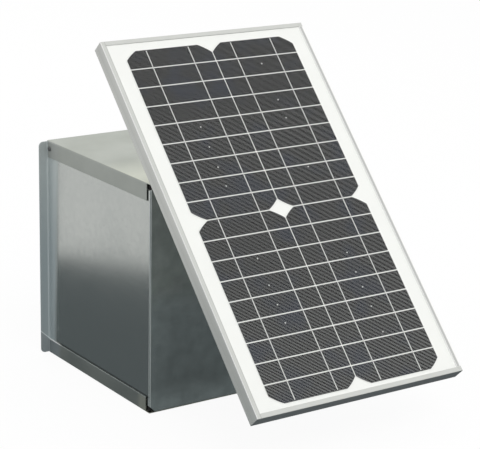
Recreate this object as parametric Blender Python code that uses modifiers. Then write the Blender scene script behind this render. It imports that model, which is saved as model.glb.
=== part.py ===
# Solar attic fan: a galvanised sheet-steel housing with an axial exhaust fan at its flanged back,
# and a framed solar panel that tilts on two brackets above the housing's front edge.
# Metres, +Z up, +Y towards the flanged back. The origin is the middle of the housing's base.

import bmesh
import bpy
from math import cos, pi, radians, sin
from mathutils import Matrix, Vector

# Sheet and fits
FIT = 0.0003                # gap kept between pieces that touch
SHEET = 0.0010              # galvanised sheet
BEND = 0.0020               # radius of a bend in the sheet
HOLE_CLEARANCE = 0.0003     # between a fastener's shank and its hole
HEAD_CROWN = 0.0005         # chamfer on the heads of screws and bolts

# Housing
HOUSING_WIDTH = 0.3024      # over the side sheets
HOUSING_DEPTH = 0.2616      # front sheet to the back of the mounting flanges
HOUSING_HEIGHT = 0.2966     # over both pans
FLANGE_WIDTH = 0.0135       # mounting flange, out from the side sheet
FLANGE_CORNER = 0.0060      # rounded corners of the mounting flange
TOP_LIP = 0.0224            # lip of the top pan, folded down over the side sheet
BOTTOM_LIP = 0.0200         # lip of the bottom pan, folded up over the side sheet
LIP_SETBACK = 0.0070        # the lips stop this far behind the front sheet
CORNER_NOTCH = 0.0080       # clipped corners of the front sheet
INTAKE_BRIDGE = 0.0400      # strip left between the two intake windows
INTAKE_RIM = 0.0280         # sheet left beside the windows
INTAKE_FRONT_RIM = 0.0260   # sheet left in front of the windows
INTAKE_LENGTH = 0.1700      # windows, front to back
PAN_SCREW_INSET = 0.0045    # pan screw, in from the back end of the lip
PAN_SCREW_DROP = 0.0102     # pan screw, down from the top
PAN_SCREW_SHANK = 0.0030
PAN_SCREW_HEAD = 0.0062
PAN_SCREW_HEAD_HEIGHT = 0.0020
PAN_SCREW_LENGTH = 0.0080
GROMMET_BORE = 0.0080
GROMMET_HOLE = 0.0180       # hole in the front sheet
GROMMET_DIAMETER = 0.0240
GROMMET_LENGTH = 0.0070
GROMMET_X = 0.0600          # grommet, right of the middle
GROMMET_DROP = 0.0700       # grommet, down from the top

# Orifice and guard
ORIFICE_RECESS = 0.0150     # back of the orifice panel, in from the flanges
ORIFICE_FOLD = 0.0150       # folded edges of the orifice panel
ORIFICE_HEADROOM = 0.0193   # least height between the orifice and the pans
COLLAR_LENGTH = 0.0100
COLLAR_STRAIGHT = 0.0050    # straight part of the collar, before its flare
COLLAR_WALL = 0.0012
COLLAR_FLARE = 0.0025
GUARD_WIRE = 0.0032
GUARD_OVERLAP = 0.0080      # outer ring of the guard, beyond the orifice
GUARD_RINGS = 4
GUARD_STANDOFF = 0.0062     # length of the spacers under the guard
GUARD_WELD = 0.0012         # each cross wire, behind the wires it is welded to
STANDOFF_DIAMETER = 0.0100

# Fan
TIP_CLEARANCE = 0.0040
HUB_TO_COLLAR = 0.0070
HUB_DIAMETER = 0.0700
HUB_LENGTH = 0.0260
HUB_FACE = 0.0120           # hub's front to the seat of its nut
HUB_RECESS = 0.0260         # across the recess for the hub nut
HUB_EDGE = 0.0030
HUB_NUT = 0.0130            # across flats
HUB_NUT_HEIGHT = 0.0060
BLADES = 5
BLADE_THICKNESS = 0.0016
BLADE_ROOT = 0.0006         # blade's root curve, out from the hub
ROOT_CHORD = 0.0380
TIP_CHORD = 0.0780
ROOT_PITCH = radians(38.0)
TIP_PITCH = radians(20.0)
BLADE_CAMBER = 0.0040

# Motor and its strap
SHAFT_DIAMETER = 0.0080
SHAFT_COLLAR = 0.0140
SHAFT_COLLAR_LENGTH = 0.0050
SHAFT_END = 0.0015          # shaft past the hub nut
HUB_TO_STRAP = 0.0140
STRAP_THICKNESS = 0.0030
STRAP_WIDTH = 0.0300
STRAP_SIDE_GAP = 0.0014     # strap's end to the orifice panel's fold
STRAP_TO_COLLAR = 0.0053    # strap leg, out from the collar's flare
STRAP_FOOT = 0.0095
STRAP_BORE = 0.0220
STRAP_SCREW_INSET = 0.0034  # strap screw, in from the foot's end
STRAP_SCREW_SHANK = 0.0026
STRAP_SCREW_HEAD = 0.0050
STRAP_SCREW_HEAD_HEIGHT = 0.0022
STRAP_SCREW_TAIL = 0.0030   # strap screw, past the orifice panel
MOTOR_DIAMETER = 0.0840
MOTOR_LENGTH = 0.0550
MOTOR_WALL = 0.0015
MOTOR_EDGE = 0.0040
END_CAP = 0.0040
CAP_POCKET = 0.0014         # bearing pocket, into the end cap
BEARING_DIAMETER = 0.0220
BEARING_WIDTH = 0.0070
BEARING_SEAT_WALL = 0.0025
BEARING_STEP = 0.0010       # front bearing's shoulder, up from the can's floor
CAP_BORE = 0.0120
STATOR_LENGTH = 0.0250
STATOR_BORE = 0.0440
ROTOR_DIAMETER = 0.0420
MOTOR_BOLT_SPACING = 0.0520
MOTOR_BOLT_SHANK = 0.0040
MOTOR_BOLT_HEAD = 0.0080
MOTOR_BOLT_HEAD_HEIGHT = 0.0035

# Solar panel
CELL_ROWS = 18
CELL_WIDTH = 0.1250
CELL_HEIGHT = 0.0256
CELL_THICKNESS = 0.0004
ROW_GAP = 0.0017
COLUMN_GAP = 0.0016
CELL_CLIP_ACROSS = 0.0170   # clipped wafer corners, across the panel
CELL_CLIP_ALONG = 0.0125    # clipped wafer corners, along the panel
RIBBON_SPACING = 0.0620
RIBBON_WIDTH = 0.0018
LEFT_MARGIN = 0.0292        # panel's left edge to the cells
RIGHT_MARGIN = 0.0242
LOWER_MARGIN = 0.0128
UPPER_MARGIN = 0.0155
GLASS = 0.0032
BACKSHEET = 0.0007
LAMINATE_PLAY = 0.0005      # laminate's edge to the frame's wall
FRAME_DEPTH = 0.0195
FRAME_WALL = 0.0015
FRAME_LIP = 0.0062          # front lip over the glass
FRAME_SHELF = 0.0065
FRAME_SHELF_THICKNESS = 0.0013
FRAME_FLANGE = 0.0150       # back flange
KEY_LEG = 0.0250
KEY_THICKNESS = 0.0080
JUNCTION_WIDTH = 0.0800
JUNCTION_HEIGHT = 0.0600
JUNCTION_DEPTH = 0.0157
JUNCTION_WALL = 0.0020
GLAND_DIAMETER = 0.0120
GLAND_NOSE = 0.0086         # across the gland's narrow end
GLAND_BORE = 0.0060
GLAND_LENGTH = 0.0140
GLAND_STRAIGHT = 0.0070     # straight part of the gland, before its taper

# Tilt mount
TILT = radians(46.4)        # panel's slope at rest
PANEL_REST = 0.3243         # panel's lower edge to where it rests on the housing
REST_GAP = 0.0004
PIVOT_SETBACK = 0.0380      # pivot, behind the front sheet
PIVOT_RISE = 0.0200         # pivot, above the top pan
MOUNT_SPACING = 0.1400      # between the two tilt lugs
RAIL_WIDTH = 0.0300
RAIL_THICKNESS = 0.0030
RAIL_INSET = 0.0040         # rail's end, in from the panel's edge
RAIL_SCREW_INSET = 0.0090   # rail screw, in from the panel's edge
RAIL_SCREW_SHANK = 0.0040
RAIL_SCREW_HEAD = 0.0080
RAIL_SCREW_HEAD_HEIGHT = 0.0026
RAIL_SCREW_TAIL = 0.0020
EAR_THICKNESS = 0.0030
EAR_RADIUS = 0.0090
FOOT_WIDTH = 0.0240         # feet of the lugs and brackets, out from the ear
BRACKET_FOOT_DEPTH = 0.0400
PIVOT_BOLT = 0.0060
PIVOT_HEX = 0.0100          # across flats, head and nut
PIVOT_HEAD_HEIGHT = 0.0040
PIVOT_NUT_HEIGHT = 0.0050
PIVOT_BOLT_TAIL = 0.0020

# Facets
TURN_STEPS = 24
SMALL_STEPS = 12
WIRE_SIDES = 6
GUARD_STEPS = 36
BLADE_STATIONS = 5
CHORD_STATIONS = 5
BEND_STEPS = 2
CORNER_STEPS = 3

# Worked out from the sizes above
HALF_WIDTH = HOUSING_WIDTH / 2
HALF_DEPTH = HOUSING_DEPTH / 2
LIP_FACE = HALF_WIDTH + FIT + SHEET
AXIS_HEIGHT = HOUSING_HEIGHT / 2
STRAP_REACH = HALF_WIDTH - 2 * SHEET - FIT - STRAP_SIDE_GAP
STRAP_LEG = STRAP_REACH - STRAP_FOOT
STRAP_SCREW_X = STRAP_REACH - STRAP_SCREW_INSET
COLLAR_RADIUS = STRAP_LEG - STRAP_TO_COLLAR - COLLAR_FLARE
ORIFICE_RADIUS = min(COLLAR_RADIUS - COLLAR_WALL, AXIS_HEIGHT - ORIFICE_HEADROOM)
PLATE_BACK = HALF_DEPTH - ORIFICE_RECESS
PLATE_FRONT = PLATE_BACK - SHEET
GUARD_RADIUS = ORIFICE_RADIUS + GUARD_OVERLAP
GUARD_PLANE = PLATE_BACK + FIT + GUARD_STANDOFF + FIT + GUARD_WIRE / 2
HUB_BACK = PLATE_BACK - COLLAR_LENGTH - HUB_TO_COLLAR
HUB_FRONT = HUB_BACK - HUB_LENGTH
FAN_RADIUS = ORIFICE_RADIUS - TIP_CLEARANCE
STRAP_BACK = HUB_FRONT - HUB_TO_STRAP
STRAP_FRONT = STRAP_BACK - STRAP_THICKNESS
CAP_BACK = STRAP_FRONT - FIT
CAP_FRONT = CAP_BACK - END_CAP
CAN_BACK = CAP_FRONT - FIT
CAN_FRONT = CAN_BACK - MOTOR_LENGTH
LIP_BACK = HALF_DEPTH - SHEET - BEND - FIT
PANEL_WIDTH = 2 * CELL_WIDTH + COLUMN_GAP + LEFT_MARGIN + RIGHT_MARGIN
CELL_PITCH = CELL_HEIGHT + ROW_GAP
PANEL_LENGTH = LOWER_MARGIN + CELL_ROWS * CELL_PITCH - ROW_GAP + UPPER_MARGIN
PIVOT_Y = -HALF_DEPTH + PIVOT_SETBACK
PIVOT_Z = HOUSING_HEIGHT + PIVOT_RISE
PIVOT_HOLE = PIVOT_BOLT / 2 + HOLE_CLEARANCE
SEAM = FIT / 2              # each ear, from the seam between a lug and its bracket
PIVOT_TO_PANEL = PIVOT_SETBACK * sin(TILT) - PIVOT_RISE * cos(TILT) + REST_GAP
PIVOT_ALONG = PANEL_REST + PIVOT_SETBACK * cos(TILT) + PIVOT_RISE * sin(TILT)

FINISHES = {
    "galvanised": ((0.52, 0.54, 0.53), 0.38, 1.0),
    "zinc": ((0.60, 0.61, 0.60), 0.35, 1.0),
    "black_zinc": ((0.05, 0.05, 0.05), 0.45, 0.6),
    "anodised": ((0.72, 0.73, 0.72), 0.32, 1.0),
    "glass": ((0.85, 0.90, 0.88), 0.05, 0.0),
    "silicon": ((0.07, 0.075, 0.085), 0.25, 0.0),
    "white_film": ((0.88, 0.89, 0.88), 0.45, 0.0),
    "black_plastic": ((0.03, 0.03, 0.03), 0.50, 0.0),
    "rubber": ((0.03, 0.03, 0.03), 0.75, 0.0),
    "fan_plastic": ((0.09, 0.09, 0.09), 0.50, 0.0),
    "motor_paint": ((0.08, 0.08, 0.085), 0.45, 0.2),
    "steel": ((0.55, 0.55, 0.55), 0.30, 1.0),
    "core": ((0.30, 0.28, 0.26), 0.55, 0.7),
}


def new_collection(name):
    group = bpy.data.collections.new(name)
    bpy.context.scene.collection.children.link(group)
    return group


def new_empty(name, location, turn):
    empty = bpy.data.objects.new(name, None)
    PARTS.objects.link(empty)
    empty.location = location
    empty.rotation_euler = turn
    return empty


def paint(obj, finish):
    color, roughness, metallic = FINISHES[finish]
    material = bpy.data.materials.new(obj.name)
    material.use_nodes = True
    shader = material.node_tree.nodes["Principled BSDF"]
    shader.inputs["Base Color"].default_value = (*color, 1.0)
    shader.inputs["Roughness"].default_value = roughness
    shader.inputs["Metallic"].default_value = metallic
    obj.data.materials.append(material)


def place(obj, location, turn, parent):
    obj.location = location
    obj.rotation_euler = turn
    obj.parent = parent


def add_part(name, mesh, finish, location=(0, 0, 0), turn=(0, 0, 0), parent=None):
    obj = bpy.data.objects.new(name, mesh)
    PARTS.objects.link(obj)
    place(obj, location, turn, parent)
    paint(obj, finish)
    return obj


def add_cutter(name, mesh, location=(0, 0, 0), turn=(0, 0, 0), parent=None):
    obj = bpy.data.objects.new(name, mesh)
    CUTTERS.objects.link(obj)
    place(obj, location, turn, parent)
    obj.hide_render = True
    obj.display_type = "WIRE"
    return obj


def combine(obj, other, operation):
    modifier = obj.modifiers.new(operation.lower(), "BOOLEAN")
    modifier.operation = operation
    modifier.solver = "EXACT"
    modifier.object = other


def finish_mesh(bm, name):
    mesh = bpy.data.meshes.new(name)
    bm.to_mesh(mesh)
    bm.free()
    return mesh


def smooth(mesh, angle=radians(35)):
    mesh.shade_smooth()
    mesh.set_sharp_from_angle(angle=angle)


def grow_block(bm, low, high):
    low = Vector(low)
    size = Vector(high) - low
    bmesh.ops.create_cube(bm, matrix=Matrix.Translation(low + size / 2) @ Matrix.Diagonal((*size, 1.0)))


def grow_rod(bm, start, end, radius, sides=SMALL_STEPS):
    start = Vector(start)
    span = Vector(end) - start
    turn = Vector((0, 0, 1)).rotation_difference(span).to_matrix().to_4x4()
    bmesh.ops.create_cone(
        bm, cap_ends=True, segments=sides, radius1=radius, radius2=radius, depth=span.length,
        matrix=Matrix.Translation(start + span / 2) @ turn)


def blocks(name, corners):
    bm = bmesh.new()
    for low, high in corners:
        grow_block(bm, low, high)
    return finish_mesh(bm, name)


def rods(name, ends, radius, sides=SMALL_STEPS):
    bm = bmesh.new()
    for start, end in ends:
        grow_rod(bm, start, end, radius, sides)
    mesh = finish_mesh(bm, name)
    smooth(mesh)
    return mesh


def grow_profile(bm, profile, closed):
    # The outline runs down its outer side, so that the turned shape faces outwards.
    turns = zip(profile, profile[1:] + profile[:1])
    area = sum(r1 * z2 - r2 * z1 for (r1, z1), (r2, z2) in turns)
    points = profile if area < 0 else profile[::-1]
    corners = [bm.verts.new((radius, 0, height)) for radius, height in points]
    for pair in zip(corners, corners[1:]):
        bm.edges.new(pair)
    if closed:
        bm.edges.new((corners[-1], corners[0]))


def profile_mesh(name, profiles, closed):
    bm = bmesh.new()
    for profile in profiles:
        grow_profile(bm, profile, closed)
    return finish_mesh(bm, name)


def evaluated_mesh(guide):
    # Plain mesh of a guide object, which is then removed.
    depsgraph = bpy.context.evaluated_depsgraph_get()
    mesh = bpy.data.meshes.new_from_object(guide.evaluated_get(depsgraph))
    bpy.data.objects.remove(guide, do_unlink=True)
    return mesh


def turned_mesh(name, profiles, steps=TURN_STEPS, closed=True):
    guide = bpy.data.objects.new(name, profile_mesh(name, profiles, closed))
    CUTTERS.objects.link(guide)
    screw = guide.modifiers.new("turn", "SCREW")
    screw.axis = "Z"
    screw.steps = steps
    screw.render_steps = steps
    screw.use_merge_vertices = True
    screw.merge_threshold = 0.00005
    mesh = evaluated_mesh(guide)
    smooth(mesh)
    return mesh


def turned(name, finish, profile, steps=TURN_STEPS, closed=True, **where):
    return add_part(name, turned_mesh(name, [profile], steps, closed), finish, **where)


def turned_cutter(name, profile, steps=TURN_STEPS, closed=True, **where):
    return add_cutter(name, turned_mesh(name, [profile], steps, closed), **where)


def circle(radius, steps, middle=(0, 0)):
    angles = [2 * pi * k / steps for k in range(steps)]
    return [(middle[0] + radius * cos(a), middle[1] + radius * sin(a)) for a in angles]


def hexagon(across_flats):
    return circle(across_flats / 2 / cos(pi / 6), 6)


def flat_mesh(name, outlines, thickness):
    # A flat outline with holes, made solid: its plane is local XY and its thickness is along Z.
    curve = bpy.data.curves.new(name, "CURVE")
    curve.dimensions = "2D"
    curve.fill_mode = "BOTH"
    curve.extrude = thickness / 2
    for outline in outlines:
        spline = curve.splines.new("POLY")
        spline.points.add(len(outline) - 1)
        for point, (x, y) in zip(spline.points, outline):
            point.co = (x, y, 0, 1)
        spline.use_cyclic_u = True
    guide = bpy.data.objects.new(name, curve)
    CUTTERS.objects.link(guide)
    mesh = evaluated_mesh(guide)
    bm = bmesh.new()
    bm.from_mesh(mesh)
    bmesh.ops.remove_doubles(bm, verts=bm.verts, dist=0.00001)
    bm.to_mesh(mesh)
    bm.free()
    return mesh


def swept_sheet(points, sweep):
    # An open surface: a path of points, drawn out along the sweep.
    bm = bmesh.new()
    corners = [bm.verts.new(point) for point in points]
    edges = [bm.edges.new(pair) for pair in zip(corners, corners[1:])]
    grown = bmesh.ops.extrude_edge_only(bm, edges=edges)["geom"]
    ahead = [item for item in grown if isinstance(item, bmesh.types.BMVert)]
    bmesh.ops.translate(bm, verts=ahead, vec=sweep)
    return bm


def solidify(obj, thickness, outwards):
    shell = obj.modifiers.new("sheet", "SOLIDIFY")
    shell.thickness = thickness
    shell.offset = 1 if outwards else -1
    shell.use_even_offset = True


def faces_along(bm, point, direction):
    # Whether the face nearest to a point looks along a direction.
    bm.normal_update()
    nearest = min(bm.faces, key=lambda face: (face.calc_center_median() - Vector(point)).length)
    return nearest.normal.dot(Vector(direction)) > 0


def bend_edges(bm, points, radius):
    ends = [Vector((x, y)) for x, y in points]
    edges = [edge for edge in bm.edges
             if all(any((vert.co.xy - end).length < FIT for end in ends) for vert in edge.verts)
             and (edge.verts[0].co - edge.verts[1].co).xy.length < FIT]
    bmesh.ops.bevel(bm, geom=edges, offset=radius, segments=BEND_STEPS, profile=0.5, affect="EDGES")


def housing_wrap():
    # Left side, front and right side in one bent sheet, with a flange turned out at each back edge.
    low, high = SHEET + FIT, HOUSING_HEIGHT - SHEET - FIT
    flange_face = HALF_DEPTH - SHEET
    reach = HALF_WIDTH + FLANGE_WIDTH
    bends = [(-HALF_WIDTH, flange_face), (-HALF_WIDTH, -HALF_DEPTH),
             (HALF_WIDTH, -HALF_DEPTH), (HALF_WIDTH, flange_face)]
    path = [(-reach, flange_face), *bends, (reach, flange_face)]
    bm = swept_sheet([(x, y, low) for x, y in path], (0, 0, high - low))
    outwards = faces_along(bm, (-reach, flange_face, AXIS_HEIGHT), (0, 1, 0))
    ends = [vert for vert in bm.verts if abs(vert.co.x) > reach - FIT]
    bmesh.ops.bevel(bm, geom=ends, offset=FLANGE_CORNER, segments=CORNER_STEPS, profile=0.5,
                    affect="VERTICES")
    bend_edges(bm, bends, BEND)
    wrap = add_part("housing_wrap", finish_mesh(bm, "housing_wrap"), "galvanised")
    solidify(wrap, SHEET, outwards)
    combine(wrap, corner_notches(low, high), "DIFFERENCE")
    combine(wrap, PAN_SCREW_HOLES, "DIFFERENCE")
    combine(wrap, grommet_hole(), "DIFFERENCE")


def corner_notches(low, high):
    bm = bmesh.new()
    side = CORNER_NOTCH * 2 ** 0.5
    turn = Matrix.Rotation(radians(45), 4, "Y")
    depth = 2 * LIP_SETBACK
    for x in (-HALF_WIDTH, HALF_WIDTH):
        for z in (low, high):
            size = Matrix.Diagonal((side, depth, side, 1))
            bmesh.ops.create_cube(bm, matrix=Matrix.Translation((x, -HALF_DEPTH, z)) @ turn @ size)
    return add_cutter("cut_corner_notches", finish_mesh(bm, "cut_corner_notches"))


def grommet_place():
    return (GROMMET_X, -HALF_DEPTH + SHEET / 2, HOUSING_HEIGHT - GROMMET_DROP)


def grommet_hole():
    x, y, z = grommet_place()
    mesh = rods("cut_grommet", [((x, y - BEND, z), (x, y + BEND, z))], GROMMET_HOLE / 2, TURN_STEPS)
    return add_cutter("cut_grommet", mesh)


def cable_grommet():
    # Rubber ring in the front sheet, where the panel's lead goes in.
    half = GROMMET_LENGTH / 2
    groove = SHEET / 2 + FIT
    waist = GROMMET_HOLE / 2 - FIT
    rim = GROMMET_DIAMETER / 2
    bore = GROMMET_BORE / 2
    profile = [(bore, half), (rim, half), (rim, groove), (waist, groove),
               (waist, -groove), (rim, -groove), (rim, -half), (bore, -half)]
    turned("cable_grommet", "rubber", profile, location=grommet_place(), turn=ALONG_Y)


def pan_screw_places():
    y = LIP_BACK - PAN_SCREW_INSET
    z = HOUSING_HEIGHT - PAN_SCREW_DROP
    return [("left", -1, y, z), ("right", 1, y, z)]


def pan_screw_holes():
    inner = LIP_FACE - PAN_SCREW_LENGTH
    ends = [((side * inner, y, z), (side * (LIP_FACE + FIT), y, z)) for _, side, y, z in pan_screw_places()]
    mesh = rods("cut_pan_screws", ends, PAN_SCREW_SHANK / 2 + HOLE_CLEARANCE)
    return add_cutter("cut_pan_screws", mesh)


def headed(name, finish, head, head_height, shank, length, steps=SMALL_STEPS, **where):
    # A screw or bolt: its head stands on local z = 0 and its shank runs down to z = -length.
    profile = [(0, head_height), (head / 2 - HEAD_CROWN, head_height), (head / 2, head_height - HEAD_CROWN),
               (head / 2, 0), (shank / 2, 0), (shank / 2, -length), (0, -length)]
    return turned(name, finish, profile, steps=steps, closed=False, **where)


def pan_screws():
    for word, side, y, z in pan_screw_places():
        headed("top_pan_screw_" + word, "black_zinc", PAN_SCREW_HEAD, PAN_SCREW_HEAD_HEIGHT,
               PAN_SCREW_SHANK, PAN_SCREW_LENGTH, location=(side * (LIP_FACE + FIT), y, z),
               turn=(0, side * pi / 2, 0))


def pan(name, flat, rim):
    # A flat sheet with a lip folded over each side sheet. The lips stop short of both ends.
    path = [(-LIP_FACE, -HALF_DEPTH, rim), (-LIP_FACE, -HALF_DEPTH, flat),
            (LIP_FACE, -HALF_DEPTH, flat), (LIP_FACE, -HALF_DEPTH, rim)]
    bm = swept_sheet(path, (0, HOUSING_DEPTH, 0))
    outwards = faces_along(bm, (-LIP_FACE, 0, (flat + rim) / 2), (1, 0, 0))
    obj = add_part(name, finish_mesh(bm, name), "galvanised")
    solidify(obj, SHEET, outwards)
    upwards = 1 if flat > rim else -1
    low, high = sorted((rim - upwards * BEND, flat - upwards * SHEET))
    ends = []
    for side in (-1, 1):
        near, far = sorted((side * (LIP_FACE - SHEET - FIT / 2), side * (LIP_FACE + BEND)))
        ends.append(((near, -HALF_DEPTH - BEND, low), (far, -HALF_DEPTH + LIP_SETBACK, high)))
        ends.append(((near, LIP_BACK, low), (far, HALF_DEPTH + BEND, high)))
    combine(obj, add_cutter("cut_lips_" + name, blocks("cut_lips_" + name, ends)), "DIFFERENCE")
    return obj


def pans():
    top = pan("top_pan", HOUSING_HEIGHT, HOUSING_HEIGHT - TOP_LIP)
    combine(top, PAN_SCREW_HOLES, "DIFFERENCE")
    bottom = pan("bottom_pan", 0, BOTTOM_LIP)
    front = -HALF_DEPTH + INTAKE_FRONT_RIM
    near, far = INTAKE_BRIDGE / 2, LIP_FACE - INTAKE_RIM
    windows = [((near, front, -SHEET), (far, front + INTAKE_LENGTH, 2 * SHEET)),
               ((-far, front, -SHEET), (-near, front + INTAKE_LENGTH, 2 * SHEET))]
    combine(bottom, add_cutter("cut_intake", blocks("cut_intake", windows)), "DIFFERENCE")


def orifice_panel():
    # Back plate with folded edges and a flared collar round the fan.
    half = HALF_WIDTH - SHEET - FIT
    low, high = SHEET + FIT, HOUSING_HEIGHT - SHEET - FIT
    bm = bmesh.new()
    grow_block(bm, (-half, PLATE_BACK - ORIFICE_FOLD, low), (half, PLATE_BACK, high))
    bm.normal_update()
    front = [face for face in bm.faces if face.normal.y < -0.5]
    bmesh.ops.delete(bm, geom=front, context="FACES")
    panel = add_part("orifice_panel", finish_mesh(bm, "orifice_panel"), "galvanised")
    solidify(panel, SHEET, False)
    where = {"location": (0, PLATE_BACK, AXIS_HEIGHT), "turn": ALONG_Y}
    middle = ORIFICE_RADIUS + COLLAR_WALL / 2
    hole = [(0, SHEET), (middle, SHEET), (middle, -2 * SHEET), (0, -2 * SHEET)]
    combine(panel, turned_cutter("cut_orifice", hole, GUARD_STEPS, False, **where), "DIFFERENCE")
    inner, outer = ORIFICE_RADIUS, ORIFICE_RADIUS + COLLAR_WALL
    ring = [(inner, FIT), (outer, FIT), (outer, -COLLAR_STRAIGHT), (outer + COLLAR_FLARE, -COLLAR_LENGTH),
            (inner + COLLAR_FLARE, -COLLAR_LENGTH), (inner, -COLLAR_STRAIGHT)]
    combine(panel, turned_cutter("join_collar", ring, GUARD_STEPS, **where), "UNION")
    combine(panel, STRAP_SCREW_HOLES, "DIFFERENCE")


def exhaust_guard():
    # Welded wire rings on two crossed wires, on four spacers behind the orifice.
    where = {"location": (0, GUARD_PLANE, AXIS_HEIGHT), "turn": ALONG_Y}
    radii = [GUARD_RADIUS * (k + 1) / GUARD_RINGS for k in range(GUARD_RINGS)]
    rings = [circle(GUARD_WIRE / 2, WIRE_SIDES, (radius, 0)) for radius in radii]
    guard = add_part("exhaust_guard", turned_mesh("rings", rings, GUARD_STEPS), "black_zinc", **where)
    crossed = []
    for k, angle in enumerate((pi / 4, 3 * pi / 4)):
        name = f"join_cross_wire_{k + 1}"
        reach = GUARD_RADIUS * Vector((cos(angle), sin(angle), 0))
        behind = Vector((0, 0, GUARD_WELD * (k + 1)))
        wires = rods(name, [(behind - reach, behind + reach)], GUARD_WIRE / 2, WIRE_SIDES)
        crossed.append(add_cutter(name, wires, **where))
    combine(crossed[0], crossed[1], "UNION")
    combine(guard, crossed[0], "UNION")
    for k in range(4):
        angle = pi / 4 + k * pi / 2
        x, z = GUARD_RADIUS * cos(angle), AXIS_HEIGHT + GUARD_RADIUS * sin(angle)
        spacer = rods("spacer", [((x, PLATE_BACK + FIT, z), (x, PLATE_BACK + FIT + GUARD_STANDOFF, z))],
                      STANDOFF_DIAMETER / 2)
        add_part(f"guard_standoff_{k + 1}", spacer, "zinc")


def strap_screw_holes():
    ends = [((x, PLATE_FRONT - 2 * STRAP_THICKNESS, AXIS_HEIGHT), (x, PLATE_BACK + SHEET, AXIS_HEIGHT))
            for x in (-STRAP_SCREW_X, STRAP_SCREW_X)]
    mesh = rods("cut_strap_screws", ends, STRAP_SCREW_SHANK / 2 + HOLE_CLEARANCE)
    return add_cutter("cut_strap_screws", mesh)


def motor_bolt_holes():
    half = MOTOR_BOLT_SPACING / 2
    ends = [((x, CAP_FRONT - END_CAP, AXIS_HEIGHT), (x, STRAP_BACK + STRAP_THICKNESS, AXIS_HEIGHT))
            for x in (-half, half)]
    mesh = rods("cut_motor_bolts", ends, MOTOR_BOLT_SHANK / 2 + HOLE_CLEARANCE)
    return add_cutter("cut_motor_bolts", mesh)


def motor_strap():
    # Flat strap across the housing: its feet stand on the orifice panel and its middle carries the motor.
    foot = PLATE_FRONT - FIT
    low = AXIS_HEIGHT - STRAP_WIDTH / 2
    bends = [(-STRAP_LEG, foot), (-STRAP_LEG, STRAP_BACK), (STRAP_LEG, STRAP_BACK), (STRAP_LEG, foot)]
    path = [(-STRAP_REACH, foot), *bends, (STRAP_REACH, foot)]
    bm = swept_sheet([(x, y, low) for x, y in path], (0, 0, STRAP_WIDTH))
    outwards = faces_along(bm, (-STRAP_REACH, foot, AXIS_HEIGHT), (0, -1, 0))
    strap = add_part("motor_strap", finish_mesh(bm, "motor_strap"), "zinc")
    solidify(strap, STRAP_THICKNESS, outwards)
    ends = [((0, STRAP_FRONT - FIT, AXIS_HEIGHT), (0, STRAP_BACK + FIT, AXIS_HEIGHT))]
    bore = rods("cut_strap_bore", ends, STRAP_BORE / 2, TURN_STEPS)
    combine(strap, add_cutter("cut_strap_bore", bore), "DIFFERENCE")
    combine(strap, STRAP_SCREW_HOLES, "DIFFERENCE")
    combine(strap, MOTOR_BOLT_HOLES, "DIFFERENCE")
    for word, side in (("left", -1), ("right", 1)):
        seat = (side * STRAP_SCREW_X, foot - STRAP_THICKNESS - FIT, AXIS_HEIGHT)
        length = STRAP_THICKNESS + 2 * FIT + SHEET + STRAP_SCREW_TAIL
        headed("strap_screw_" + word, "zinc", STRAP_SCREW_HEAD, STRAP_SCREW_HEAD_HEIGHT, STRAP_SCREW_SHANK,
               length, location=seat, turn=AGAINST_Y)
        seat = (side * MOTOR_BOLT_SPACING / 2, STRAP_BACK + FIT, AXIS_HEIGHT)
        length = STRAP_THICKNESS + 2 * FIT + END_CAP
        headed("motor_bolt_" + word, "zinc", MOTOR_BOLT_HEAD, MOTOR_BOLT_HEAD_HEIGHT, MOTOR_BOLT_SHANK,
               length, location=seat, turn=ALONG_Y)


def motor():
    # Heights in these outlines are measured along the fan axis, from the origin.
    where = {"location": (0, 0, AXIS_HEIGHT), "turn": ALONG_Y}
    radius = MOTOR_DIAMETER / 2
    bore = radius - MOTOR_WALL
    floor = CAN_FRONT + MOTOR_WALL
    shoulder = floor + BEARING_STEP
    seat_end = shoulder + BEARING_WIDTH
    seat = BEARING_DIAMETER / 2 + FIT
    seat_wall = seat + BEARING_SEAT_WALL
    can = [(0, shoulder), (seat, shoulder), (seat, seat_end), (seat_wall, seat_end), (seat_wall, floor),
           (bore - MOTOR_EDGE, floor), (bore, CAN_FRONT + MOTOR_EDGE), (bore, CAN_BACK), (radius, CAN_BACK),
           (radius, CAN_FRONT + MOTOR_EDGE), (radius - MOTOR_EDGE, CAN_FRONT), (0, CAN_FRONT)]
    turned("motor_can", "motor_paint", can, closed=False, **where)
    pocket = CAP_FRONT + CAP_POCKET
    boss = pocket - FIT - BEARING_WIDTH
    cap = [(CAP_BORE / 2, CAP_BACK), (radius, CAP_BACK), (radius, CAP_FRONT), (seat_wall, CAP_FRONT),
           (seat_wall, boss), (seat, boss), (seat, pocket), (CAP_BORE / 2, pocket)]
    end_cap = turned("motor_end_cap", "motor_paint", cap, **where)
    combine(end_cap, MOTOR_BOLT_HOLES, "DIFFERENCE")
    shaft = SHAFT_DIAMETER / 2
    inner, outer = shaft + FIT, BEARING_DIAMETER / 2
    for name, start in (("front_bearing", shoulder + FIT), ("rear_bearing", boss)):
        end = start + BEARING_WIDTH - FIT
        turned(name, "steel", [(inner, end), (outer, end), (outer, start), (inner, start)], **where)
    middle = (seat_end + boss) / 2
    start, end = middle - STATOR_LENGTH / 2, middle + STATOR_LENGTH / 2
    core = [(STATOR_BORE / 2, end), (bore - FIT, end), (bore - FIT, start), (STATOR_BORE / 2, start)]
    turned("stator_core", "core", core, **where)
    return shoulder, middle


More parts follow.
